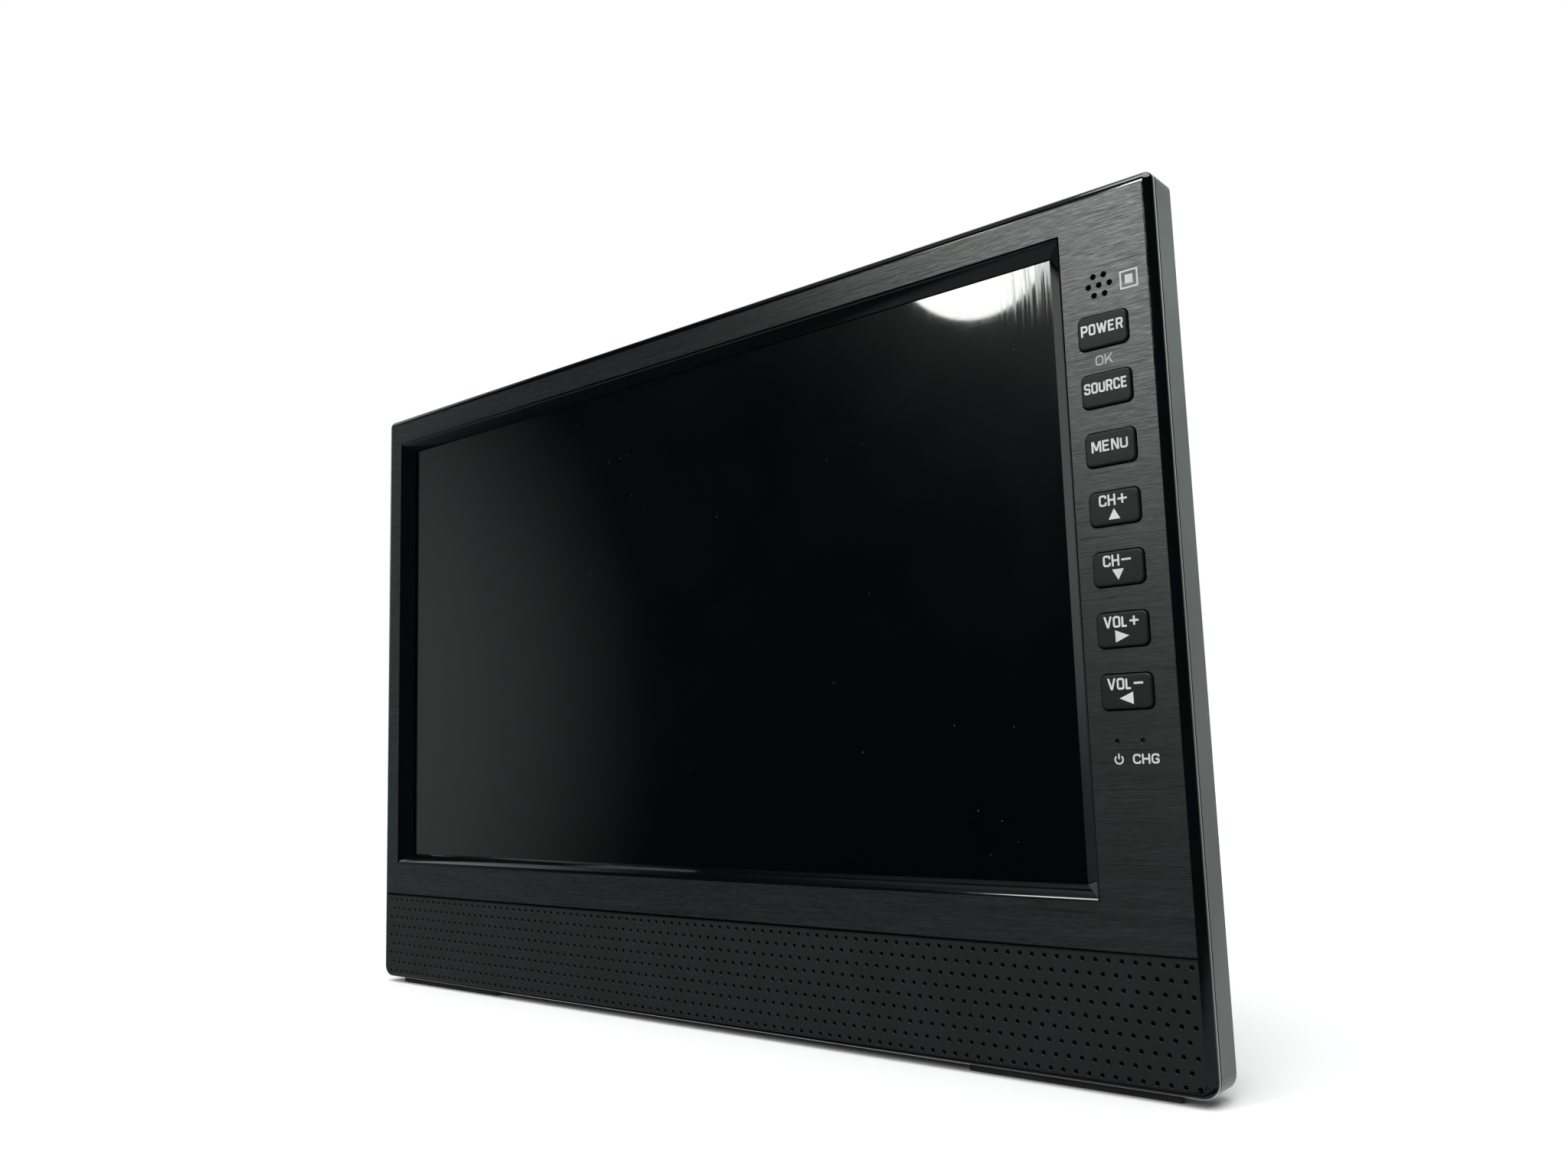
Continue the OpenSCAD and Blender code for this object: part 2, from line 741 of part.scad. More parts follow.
module cover_shell() {
    hull() {
        slab(cover_start, side_d - 1) case_outline(0);
        slab(side_d - 1, side_d) case_outline(1);
    }
    hull() {
        slab(side_d - 2, side_d) panel(-bulge_x, bulge_x, 0.3, bulge_z1, 3, bulge_r);
        slab(shoulder_d - 0.1, shoulder_d)
            panel(1.4 - bulge_x, bulge_x - 1.4, 0.3, bulge_z1 - 1.4, 3, bulge_r);
        slab(case_d - 0.1, case_d)
            panel(3 - bulge_x, bulge_x - 3, 1.9, bulge_z1 - 3, 3, bulge_r - 1.5);
    }
}

module cover_cavity() {
    slab(cover_start - 1, side_d - ledge_t) case_outline(wall);
    hull() {
        slab(side_d - ledge_t - overlap, side_d) panel(2 - bulge_x, bulge_x - 2, 1.8, bulge_z1 - 2, 2, 4);
        slab(inner_back - 0.1, inner_back)
            panel(3.4 - bulge_x, bulge_x - 3.4, 1.8, bulge_z1 - 3.4, 2, 4);
    }
}

module rear_cover() {
    wide = stand_x + recess_gap;
    color(matt_black) in_case() difference() {
        union() {
            difference() {
                cover_shell();
                cover_cavity();
            }
            slab(recess_floor - floor_t, inner_back + 1)
                panel(-wide - 2, wide + 2, recess_z0 - 5, pivot_z + 6);
            slab(pivot_d - 5, inner_back + 1)
                panel(-wide - pin_out - 1.6, wide + pin_out + 1.6, pivot_z - 5.5, pivot_z + 6);
            for (at = upper_screws)
                bar(at[0], at[1], upper_seat - seat_t, inner_back + 1, well_r + 1.5);
            for (at = lower_screws)
                bar(at[0], at[1], lower_seat - seat_t, inner_back + 1, well_r + 1.5);
        }
        slab(recess_floor, case_d + 1) panel(-wide, wide, recess_z0, pivot_z + 3.4, 2, 1);
        slab(recess_floor, case_d + 1) panel(-9, 9, recess_z0 - 4, recess_z0 + 2, 3, 0);
        axle(-wide, wide, pivot_d, pivot_z, barrel_r + 0.5);
        axle(-wide - pin_out, wide + pin_out, pivot_d, pivot_z, pin_r);
        for (at = upper_screws) {
            bar(at[0], at[1], upper_seat, case_d + 1, well_r);
            bar(at[0], at[1], upper_seat - seat_t - 1, case_d, 1.5);
        }
        for (at = lower_screws) {
            bar(at[0], at[1], lower_seat, case_d + 1, well_r);
            bar(at[0], at[1], lower_seat - seat_t - 1, case_d, 1.5);
        }
        for (side = [-1, 1]) {
            vents(side * 48, 118, 12, 5, 2, 20);
            vents(side * 70, 36, 8, 5, 2, 20);
        }
        axle(-bulge_x - 1, 4 - bulge_x, socket_d, aerial_z, aerial_collar_r + 0.2);
        translate([-bulge_x - 1, socket_d - 3.1, usb_z - 6.8]) cube([5, 6.2, 13.6]);
        translate([-bulge_x - 1, board_back - 0.1, card_z - 7.2]) cube([5, 2.2, 14.4]);
        for (z = [av_z, headphone_z]) axle(-bulge_x - 1, 4 - bulge_x, socket_d, z, 3.1);
        axle(-bulge_x - 1, 4 - bulge_x, socket_d, dc_z, 3.8);
        slab(case_d - label_t, case_d + 1) centred_panel(0, label_z, label_w, label_h, 1.5);
        for (f = feet) for (side = [0, 1]) mirror([side, 0, 0])
            translate([f[0], f[2], f[4] - 1]) cube([f[1] - f[0], f[3] - f[2], foot_in + 1]);
    }
}

module blank_label() {
    color("silver") in_case() slab(case_d - label_t, case_d - 0.05)
        centred_panel(0, label_z, label_w - 0.4, label_h - 0.4, 1.3);
}

module cover_screws() {
    color(tinned) in_case() {
        for (at = upper_screws) screw(at[0], at[1], upper_seat, 3, 1.8, 1.2, 7);
        for (at = lower_screws) screw(at[0], at[1], lower_seat, 3, 1.8, 1.2, 7);
    }
}

// The folding leg, hollowed on its inner side between ribs
module kickstand() {
    rib_cut = 1.4;
    bay_w = (stand_w - 4 * 2) / 3;
    color(matt_black) in_case() difference() {
        union() {
            slab(stand_d, case_d) panel(-stand_x, stand_x, stand_z0, pivot_z, 4, 0);
            axle(-stand_x, stand_x, pivot_d, pivot_z, barrel_r);
        }
        for (i = [-1:1]) slab(stand_d - 1, stand_d + rib_cut)
            centred_panel(i * (bay_w + 2), (stand_z0 + pivot_z) / 2 - 1, bay_w, pivot_z - stand_z0 - 12, 2);
        slab(stand_d + 0.6, case_d - 0.6) panel(-20.1, 20.1, stand_z0 - 1, stand_z0 + 1.6);
        for (side = [0, 1]) mirror([side, 0, 0])
            axle(stand_x - pin_in, stand_x + 1, pivot_d, pivot_z, pin_r + slack);
    }
}

module stand_pad() {
    color("black") in_case() slab(stand_d + 0.6, case_d - 0.6)
        panel(-20, 20, stand_z0 - 0.6, stand_z0 + 1.6, 0.4, 0);
}

module stand_pins() {
    color("silver") in_case() for (side = [0, 1]) mirror([side, 0, 0])
        axle(stand_x - pin_in + 0.3, stand_x + recess_gap + pin_out, pivot_d, pivot_z, pin_r);
}

module rubber_feet() {
    color("black") in_case() for (f = feet) for (side = [0, 1]) mirror([side, 0, 0])
        translate([f[0], f[2], -foot_h]) cube([f[1] - f[0], f[3] - f[2], foot_h + f[4] + foot_in]);
}

front_bezel();
trim_plate();
speaker_grille();
screen_gasket();
lcd_glass();
lcd_backlight();
lcd_bracket();
bracket_posts();
bracket_screws();
main_board();
board_screws();
processor();
heat_sink();
tuner_can();
board_capacitors();
wire_sockets();
display_ribbon();
key_board();
key_board_screws();
tact_switches();
key_ribbon();
key(0);  // power_key
key(1);  // source_key
key(2);  // menu_key
key(3);  // channel_up_key
key(4);  // channel_down_key
key(5);  // volume_up_key
key(6);  // volume_down_key
ir_receiver();
ir_window();
light_pipes();
power_led();
charge_led();
speaker_frame(-1);  // speaker_left
speaker_frame(1);  // speaker_right
speaker_cone(-1);  // cone_left
speaker_cone(1);  // cone_right
speaker_magnet(-1);  // magnet_left
speaker_magnet(1);  // magnet_right
speaker_screws();
speaker_leads();
battery_cells();
battery_clamp();
battery_lead();
antenna_socket();
usb_socket();
card_socket();
av_socket();
headphone_socket();
dc_socket();
rear_cover();
blank_label();
cover_screws();
kickstand();
stand_pad();
stand_pins();
rubber_feet();
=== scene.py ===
"""The looks of a flat nine inch portable television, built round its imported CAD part.

Lengths are in millimetres in the case's own frame unless a comment says otherwise: x runs to the
right as seen from the front, d is the depth behind the front face, and z the height above the
bottom of the case.
"""

import math

import bmesh
import bpy
from mathutils import Matrix, Vector
from mathutils.geometry import tessellate_polygon


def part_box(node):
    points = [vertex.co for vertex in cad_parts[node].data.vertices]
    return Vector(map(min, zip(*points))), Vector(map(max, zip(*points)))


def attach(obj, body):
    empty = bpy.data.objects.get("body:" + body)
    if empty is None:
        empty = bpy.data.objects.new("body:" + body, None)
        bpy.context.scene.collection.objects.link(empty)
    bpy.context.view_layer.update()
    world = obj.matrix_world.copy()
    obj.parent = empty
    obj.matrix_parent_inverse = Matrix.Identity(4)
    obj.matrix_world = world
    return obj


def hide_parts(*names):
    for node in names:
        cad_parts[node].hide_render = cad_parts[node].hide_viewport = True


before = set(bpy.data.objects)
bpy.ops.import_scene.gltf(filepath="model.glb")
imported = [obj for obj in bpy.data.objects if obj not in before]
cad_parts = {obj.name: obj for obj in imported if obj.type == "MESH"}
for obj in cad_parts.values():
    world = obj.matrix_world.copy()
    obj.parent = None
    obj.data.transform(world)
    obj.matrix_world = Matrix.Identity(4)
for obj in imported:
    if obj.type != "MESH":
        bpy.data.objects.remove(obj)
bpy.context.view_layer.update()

MM = 0.001


# ---------------------------------------------------------------- places taken from the frame

def node_box(node):
    """The lowest and highest corner of a CAD node in the shared frame, in millimetres."""
    low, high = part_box(node)
    return low / MM, high / MM


bezel_low, bezel_high = node_box("front_bezel")
trim_low, trim_high = node_box("trim_plate")
band_low, band_high = node_box("speaker_grille")
glass_low, glass_high = node_box("lcd_glass")
aerial_low, aerial_high = node_box("antenna_socket")
usb_low, usb_high = node_box("usb_socket")

FRONT_Y = trim_low.y
BOTTOM = bezel_low.z
HALF_W = bezel_high.x
CASE_H = bezel_high.z - BOTTOM
TRIM_X = trim_high.x
TRIM_Z0 = trim_low.z - BOTTOM
TRIM_Z1 = trim_high.z - BOTTOM
TRIM_T = trim_high.y - FRONT_Y
BAND_Z0 = band_low.z - BOTTOM
BAND_Z1 = band_high.z - BOTTOM
BAND_D = band_low.y - FRONT_Y
BAND_BACK = band_high.y - FRONT_Y
GLASS_D = glass_low.y - FRONT_Y

# The bezel
EDGE_W = HALF_W - TRIM_X      # width of the rounded edge at the sides and the top
BOTTOM_EDGE = 1.15            # and at the bottom
RIM_D = 0.08                  # depth at which the rounded edge meets the plate
ROUND_D = 1.15                # depth at which it meets the side
LIP_D = 1.7                   # depth of the edge's back
TOP_R = 1.6                   # radius of the case's upper corners
BOTTOM_R = 3.0                # and of the lower ones
BEZEL_T = 2.6                 # depth of the bezel's back
INNER_INSET = 1.65            # how far its back lies inside the case's outline
TONGUE_D = 5.0                # depth and thickness of the tongue that goes into the rear cover
TONGUE_T = 0.8

# The window
WINDOW = (-108.05, 96.45, 30.0, 146.0)      # left, right, bottom and top of the bevel's outer edge
BEVEL_SIDE = 2.93             # width of the bevel at the left and right
BEVEL_END = 2.25              # and at the top and bottom
LAND = 0.25                   # how far the plate's cut-out stands off the bevel

# The speaker band
BAND_R = 1.25                 # radius of its lower corners
BAND_EASE = 0.12              # chamfer along its top
BAND_GAP = 0.35               # dark gap between the band and the plate
DIMPLE = [(0.48, 0.0), (0.46, 0.0), (0.42, 0.03), (0.38, 0.12), (0.35, 0.6)]    # radii and depths
DIMPLE_SIDES = 12
DIMPLE_FLOOR_R = 0.33
BLIND_D = 1.0                 # depth of a dimple's floor where no speaker lies behind it
HALF_PITCH = 2.37 / 2         # half the spacing of the dimples along a row
ROW_PITCH = 2.325             # spacing of the rows
ROWS = 9
ROW_TOP = BAND_Z1 - 1.55      # height of the uppermost row
LAST_DIMPLE_X = 111.75        # the dimple farthest to the right
SPEAKER_X = 62.0              # centres and size of the openings in front of the speakers
SPEAKER_Z = 11.5
SPEAKER_OPENING = (34.0, 12.0)

# The keys
KEY_FLANGE = 0.7              # how far the flange reaches past the cap
KEY_FLANGE_D = BEZEL_T + 0.3  # depth of the flange's front
KEY_STEM_R = 1.6              # radius of the stem that works the switch
KEY_PROUD = 0.6               # how far the printed face stands out
KEY_TRIM = 0.14               # how much smaller than the CAD's the seen cap is, on each side
KEY_GAP = 0.18                # gap round the cap
KEY_R = 1.0                   # radius of its corners
KEYS = [
    # node, label, width of the label, heading of the arrow in degrees from the right
    ("power_key", "POWER", 7.8, None),
    ("source_key", "SOURCE", 8.0, None),
    ("menu_key", "MENU", 6.65, None),
    ("channel_up_key", "CH+", 5.25, 90),
    ("channel_down_key", "CH-", 5.2, 270),
    ("volume_up_key", "VOL+", 6.4, 0),
    ("volume_down_key", "VOL-", 6.5, 180),
]

# The receiver's seven holes and the two lamps
IR_X, IR_Z = 103.85, 135.3
IR_PITCH = 1.97               # from the middle hole to the six round it
IR_HOLE_R = 0.49
IR_WINDOW_R = 2.9             # the bezel's one hole behind them
LAMP_X = (101.75, 106.25)
LAMP_Z = 56.3
LAMP_HOLE_R = 0.38
LAMP_WELL_R = 0.95            # the bezel's hole behind each lamp's


def at(x, d, z):
    """A point of the case in the shared frame, in metres."""
    return Vector((x, FRONT_Y + d, BOTTOM + z)) * MM


# ---------------------------------------------------------------- materials

def add_node(tree, kind, inputs=None, **settings):
    """A node with its settings, whose inputs are linked to sockets or set to values."""
    made = tree.nodes.new(kind)
    for name, value in settings.items():
        setattr(made, name, value)
    for name, value in (inputs or {}).items():
        if isinstance(value, bpy.types.NodeSocket):
            tree.links.new(value, made.inputs[name])
        else:
            made.inputs[name].default_value = value
    return made


class Look:
    """A Principled material whose pattern lies over the piece's own coordinates."""

    def __init__(self, name, colour, roughness, **sockets):
        self.material = bpy.data.materials.new(name)
        self.material.use_nodes = True
        self.tree = self.material.node_tree
        self.shader = self.tree.nodes["Principled BSDF"]
        self.shader.inputs["Base Color"].default_value = (*colour, 1)
        self.shader.inputs["Roughness"].default_value = roughness
        for socket, value in sockets.items():
            self.shader.inputs[socket.replace("_", " ")].default_value = value
        self.coords = self.node("ShaderNodeTexCoord").outputs["Object"]

    def node(self, kind, inputs=None, **settings):
        """A node of this material, as add_node makes it."""
        return add_node(self.tree, kind, inputs, **settings)

    def feed(self, socket, value):
        """Links value to that socket of the shader."""
        self.tree.links.new(value, self.shader.inputs[socket])

    def mapped(self, size):
        """The coordinates scaled so that one unit is size, given along each axis in millimetres."""
        scale = [1 / (length * MM) for length in size]
        return self.node("ShaderNodeMapping", {"Vector": self.coords, "Scale": scale}).outputs["Vector"]

    def noise(self, size, detail=2.0, roughness=0.5):
        """Noise whose blots are about that size."""
        inputs = {"Vector": self.mapped(size), "Scale": 1.0, "Detail": detail, "Roughness": roughness}
        return self.node("ShaderNodeTexNoise", inputs).outputs["Fac"]

    def cells(self, size, **settings):
        """The distance from scattered points about that far apart."""
        inputs = {"Vector": self.mapped(size), "Scale": 1.0}
        return self.node("ShaderNodeTexVoronoi", inputs, feature="F1", **settings).outputs["Distance"]

    def math(self, operation, first, second):
        """The outcome of that operation on two values."""
        return self.node("ShaderNodeMath", {0: first, 1: second}, operation=operation).outputs[0]

    def between(self, value, start, end, low, high):
        """value as a number that goes from low at start to high at end."""
        inputs = {0: value, 1: start, 2: end, 3: low, 4: high}
        return self.node("ShaderNodeMapRange", inputs).outputs["Result"]

    def ramp(self, value, stops):
        """The colour at value along the stops, each a place and a colour."""
        made = self.node("ShaderNodeValToRGB", {"Fac": value})
        elements = made.color_ramp.elements
        while len(elements) < len(stops):
            elements.new(0.5)
        for element, (place, colour) in zip(elements, stops):
            element.position = place
            element.color = (*colour, 1)
        return made.outputs["Color"]

    def relief(self, height, depth):
        """Bumps of that depth in millimetres."""
        inputs = {"Height": height, "Distance": depth * MM, "Strength": 1.0}
        self.feed("Normal", self.node("ShaderNodeBump", inputs).outputs["Normal"])


def scaled(colour, share):
    """The colour made darker or lighter by that share."""
    return tuple(channel * share for channel in colour)


def moulded(name, colour, roughness=0.5, grain=0.3, depth=0.012, spread=0.25, **sockets):
    """Moulded plastic or rubber: an even colour that wavers a little, under a fine grain."""
    look = Look(name, colour, roughness, **sockets)
    cloud = look.noise((9, 9, 9), 3)
    fine = look.noise((grain, grain, grain), 2)
    look.feed("Base Color", look.ramp(cloud, [
        (0.3, scaled(colour, 1 - spread)), (0.7, scaled(colour, 1 + spread))]))
    look.feed("Roughness", look.between(fine, 0.3, 0.7, roughness - 0.07, roughness + 0.07))
    look.relief(fine, depth)
    return look.material


def metal(name, colour, roughness=0.3, hair=(6, 6, 0.06), depth=0.004):
    """Bare or plated metal with the fine lines of its rolling or turning, and duller patches."""
    look = Look(name, colour, roughness, Metallic=1.0)
    lines = look.noise(hair, 3, 0.6)
    patches = look.noise((12, 12, 12), 3)
    look.feed("Base Color", look.ramp(lines, [
        (0.3, scaled(colour, 0.8)), (0.7, scaled(colour, 1.08))]))
    look.feed("Roughness", look.between(patches, 0.3, 0.7, roughness - 0.07, roughness + 0.1))
    look.relief(lines, depth)
    return look.material


def gloss_black():
    """Polished black plastic with faint wipe marks and a little dust."""
    colour = (0.0014, 0.0019, 0.0026)
    look = Look("gloss_black", colour, 0.07, Specular_IOR_Level=0.75)
    wipes = look.noise((22, 22, 1.5), 4, 0.6)
    specks = look.cells((2.6, 2.6, 2.6))
    look.feed("Roughness", look.between(wipes, 0.35, 0.7, 0.04, 0.1))
    look.feed("Base Color", look.ramp(specks, [
        (0.012, (0.08, 0.085, 0.085)), (0.024, colour), (1.0, colour)]))
    look.relief(wipes, 0.002)
    return look.material


def brushed_trim():
    """A black film brushed along x: hairlines about 0.1 mm wide, and a few long dark scratches."""
    look = Look("brushed_trim", (0.01, 0.01, 0.01), 0.4, Anisotropic=0.5)
    upright = look.node("ShaderNodeCombineXYZ", {"Z": 1.0}).outputs["Vector"]
    look.feed("Tangent", upright)
    hair = look.noise((2.6, 2.6, 0.1), 3, 0.6)
    long_hair = look.noise((14, 14, 0.14), 3, 0.6)
    broad = look.noise((50, 50, 1.4), 2)
    scratch = look.noise((24, 24, 0.22), 1)
    lines = look.math("ADD", look.math("MULTIPLY", hair, 0.6), look.math("MULTIPLY", long_hair, 0.4))
    toned = look.math("ADD", look.math("MULTIPLY", lines, 0.85), look.math("MULTIPLY", broad, 0.15))
    shine = look.between(lines, 0.4, 0.6, 0.36, 0.66)
    cut = look.between(scratch, 0.69, 0.73, 1.0, 0.35)
    look.feed("Base Color", look.ramp(toned, [
        (0.4, (0.003, 0.0035, 0.0038)), (0.5, (0.0066, 0.008, 0.0086)), (0.6, (0.014, 0.0165, 0.0172))]))
    look.feed("Roughness", look.between(lines, 0.4, 0.6, 0.36, 0.27))
    look.feed("Specular IOR Level", look.math("MULTIPLY", shine, cut))
    look.relief(lines, 0.016)
    return look.material


def dimpled_band():
    """Matt black plastic with a fine spark-eroded grain."""
    return moulded("dimpled_band", (0.0064, 0.0082, 0.0084), 0.46, grain=0.16, depth=0.01, spread=0.12,
                   Specular_IOR_Level=0.4)


def key_plastic():
    """The keys' softer, duller plastic."""
    return moulded("key_plastic", (0.0045, 0.0057, 0.0059), 0.52, grain=0.2, depth=0.006, spread=0.1,
                   Specular_IOR_Level=0.32)


def case_plastic():
    """The rear cover's coarser grain, with rubbed patches that shine a little more."""
    look = Look("case_plastic", (0.01, 0.0105, 0.011), 0.4)
    grain = look.noise((0.35, 0.35, 0.35), 3, 0.6)
    rubbed = look.noise((35, 35, 35), 4, 0.6)
    look.feed("Base Color", look.ramp(rubbed, [
        (0.3, (0.0085, 0.009, 0.0095)), (0.75, (0.013, 0.0135, 0.014))]))
    look.feed("Roughness", look.between(rubbed, 0.35, 0.75, 0.44, 0.34))
    look.relief(grain, 0.007)
    return look.material


def screen():
    """The display's black face under a clear hard coat, with wipe marks, dust and one rubbed corner."""
    black = (0.0003, 0.0007, 0.0012)
    look = Look("screen", black, 0.25, Specular_IOR_Level=0.06, Coat_Weight=1.0, Coat_IOR=1.9)
    wipes = look.noise((14, 14, 0.35), 4, 0.6)
    streaks = look.noise((0.6, 0.6, 22), 3, 0.6)
    smears = look.noise((30, 30, 30), 3, 0.6)
    specks = look.cells((4.2, 4.2, 4.2))
    marked = look.math("MULTIPLY", look.math("ADD", wipes, streaks), smears)
    place = look.node("ShaderNodeSeparateXYZ", {"Vector": look.coords}).outputs
    corner = look.math("MULTIPLY", look.between(place["X"], 0.082, 0.088, 0.0, 0.14),
                       look.between(place["Z"], 0.131, 0.143, 0.0, 1.0))
    rubbed = look.math("MULTIPLY", corner, look.between(streaks, 0.42, 0.62, 0.0, 1.0))
    polish = look.between(marked, 0.42, 0.75, 0.03, 0.055)
    look.feed("Coat Roughness", look.math("ADD", polish, rubbed))
    look.feed("Roughness", look.between(smears, 0.3, 0.7, 0.2, 0.3))
    look.feed("Base Color", look.ramp(specks, [
        (0.014, (0.16, 0.17, 0.18)), (0.026, black), (1.0, black)]))
    return look.material


def circuit_board():
    """Green solder mask over square-cornered tracks, with tinned pads."""
    look = Look("circuit_board", (0.01, 0.09, 0.035), 0.35)
    tracks = look.cells((3.2, 3.2, 3.2), distance="CHEBYCHEV")
    pads = look.cells((4.5, 4.5, 4.5))
    mask = look.ramp(tracks, [
        (0.28, (0.008, 0.075, 0.03)), (0.32, (0.014, 0.13, 0.05)), (0.42, (0.008, 0.075, 0.03))])
    tin = look.ramp(pads, [(0.14, (1, 1, 1)), (0.16, (0, 0, 0))])
    mixed = look.node("ShaderNodeMixRGB", {"Fac": tin, "Color1": mask, "Color2": (0.6, 0.6, 0.58, 1)})
    look.feed("Base Color", mixed.outputs["Color"])
    look.feed("Metallic", tin)
    look.relief(tracks, 0.03)
    return look.material


def flat_cable():
    """Amber film over parallel copper conductors."""
    look = Look("flat_cable", (0.5, 0.2, 0.03), 0.32)
    inputs = {"Vector": look.mapped((6.3, 6.3, 6.3)), "Scale": 1.0, "Distortion": 0.0}
    stripes = look.node("ShaderNodeTexWave", inputs, bands_direction="DIAGONAL").outputs["Fac"]
    look.feed("Base Color", look.ramp(stripes, [
        (0.3, (0.33, 0.11, 0.015)), (0.6, (0.62, 0.3, 0.07))]))
    look.relief(stripes, 0.04)
    return look.material


def woven_cone():
    """Pressed paper, with its fibres."""
    look = Look("speaker_cone", (0.02, 0.02, 0.02), 0.85)
    fibres = look.noise((0.25, 0.25, 2.5), 5, 0.7)
    look.feed("Base Color", look.ramp(fibres, [(0.35, (0.012, 0.012, 0.012)), (0.7, (0.045, 0.043, 0.04))]))
    look.relief(fibres, 0.05)
    return look.material


def foam():
    """Closed-cell foam."""
    look = Look("foam", (0.015, 0.015, 0.015), 0.95)
    pores = look.cells((0.35, 0.35, 0.35))
    look.feed("Base Color", look.ramp(pores, [(0.1, (0.006, 0.006, 0.006)), (0.5, (0.022, 0.022, 0.022))]))
    look.relief(pores, 0.1)
    return look.material


def blank_label():
    """Silvered film with faint lines and no wording."""
    look = Look("label_silver", (0.5, 0.5, 0.51), 0.4, Metallic=0.7)
    lines = look.noise((14, 14, 0.12), 2)
    look.feed("Base Color", look.ramp(lines, [(0.35, (0.4, 0.4, 0.41)), (0.65, (0.56, 0.56, 0.57))]))
    look.feed("Roughness", look.between(lines, 0.35, 0.65, 0.36, 0.5))
    look.relief(lines, 0.004)
    return look.material


def printed(name, colour):
    """Screen-printed ink, a little uneven."""
    return moulded(name, colour, 0.55, grain=0.12, depth=0.004, spread=0.1)


LOOKS = {
    "gloss_black": gloss_black(),
    "brushed_trim": brushed_trim(),
    "dimpled_band": dimpled_band(),
    "foam": foam(),
    "screen": screen(),
    "white_plastic": moulded("white_plastic", (0.62, 0.62, 0.6), 0.4),
    "sheet_steel": metal("sheet_steel", (0.52, 0.52, 0.53), 0.38, (20, 0.1, 20)),
    "screw_steel": metal("screw_steel", (0.5, 0.5, 0.52), 0.28, (0.6, 0.08, 0.6)),
    "circuit_board": circuit_board(),
    "chip_black": moulded("chip_black", (0.02, 0.02, 0.022), 0.6, 0.12, 0.01),
    "aluminium": metal("aluminium", (0.72, 0.73, 0.75), 0.36, (0.08, 8, 8)),
    "capacitor_sleeve": moulded("capacitor_sleeve", (0.012, 0.018, 0.06), 0.3, 0.8, 0.01),
    "flat_cable": flat_cable(),
    "dark_red": moulded("dark_red", (0.003, 0.0004, 0.0006), 0.5, 1.2, 0.002, Specular_IOR_Level=0.02),
    "clear_plastic": moulded("clear_plastic", (0.03, 0.032, 0.03), 0.3, 1.0, 0.003, 0.05,
                             Transmission_Weight=0.5),
    "led_green": moulded("led_green", (0.15, 0.5, 0.2), 0.2, 0.4, 0.004, 0.1, Transmission_Weight=0.3),
    "led_red": moulded("led_red", (0.5, 0.05, 0.03), 0.2, 0.4, 0.004, 0.1, Transmission_Weight=0.3),
    "speaker_frame": moulded("speaker_frame", (0.025, 0.03, 0.032), 0.5),
    "speaker_cone": woven_cone(),
    "magnet": metal("magnet", (0.16, 0.16, 0.17), 0.5, (0.5, 0.5, 0.5), 0.02),
    "wire_red": moulded("wire_red", (0.35, 0.015, 0.012), 0.35, 0.6, 0.004),
    "battery_wrap": moulded("battery_wrap", (0.02, 0.09, 0.24), 0.28, 3.0, 0.03, 0.12),
    "nickel": metal("nickel", (0.66, 0.63, 0.58), 0.22, (0.08, 6, 6)),
    "socket_yellow": moulded("socket_yellow", (0.62, 0.4, 0.02), 0.38),
    "socket_black": moulded("socket_black", (0.012, 0.012, 0.012), 0.35),
    "case_plastic": case_plastic(),
    "black_screw": metal("black_screw", (0.06, 0.06, 0.065), 0.35, (0.5, 0.08, 0.5)),
    "steel_pin": metal("steel_pin", (0.58, 0.58, 0.6), 0.22, (0.08, 5, 5)),
    "key_plastic": key_plastic(),
    "label_silver": blank_label(),
    "rubber": moulded("rubber", (0.014, 0.014, 0.014), 0.8, 0.25, 0.02),
}
WHITE_INK = printed("white_ink", (0.48, 0.5, 0.49))
GREY_INK = printed("grey_ink", (0.32, 0.34, 0.33))


def finish_cad_nodes():
    """Gives each CAD node the look of the material slot that the record names for it."""
    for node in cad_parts.values():
        for place in node.material_slots:
            slot = place.material.name
            place.material = LOOKS[slot]


# ---------------------------------------------------------------- mesh tools

def rounded_loop(x0, x1, z0, z1, low_r, high_r, steps):
    """The outline of a rectangle with round corners, from its lower left corner round."""
    corners = [
        (x0 + low_r, z0 + low_r, low_r, 180), (x1 - low_r, z0 + low_r, low_r, 270),
        (x1 - high_r, z1 - high_r, high_r, 0), (x0 + high_r, z1 - high_r, high_r, 90)]
    outline = []
    for x, z, r, start in corners:
        for i in range(steps + 1):
            turn = math.radians(start + 90 * i / steps)
            outline.append((x + r * math.cos(turn), z + r * math.sin(turn)))
    return outline


def centred_loop(x, z, w, h, r):
    """A rectangle with round corners about its centre."""
    return rounded_loop(x - w / 2, x + w / 2, z - h / 2, z + h / 2, r, r, 6)


def ring(x, z, r, count):
    """A circle as count points."""
    turns = [math.tau * i / count for i in range(count)]
    return [(x + r * math.cos(turn), z + r * math.sin(turn)) for turn in turns]


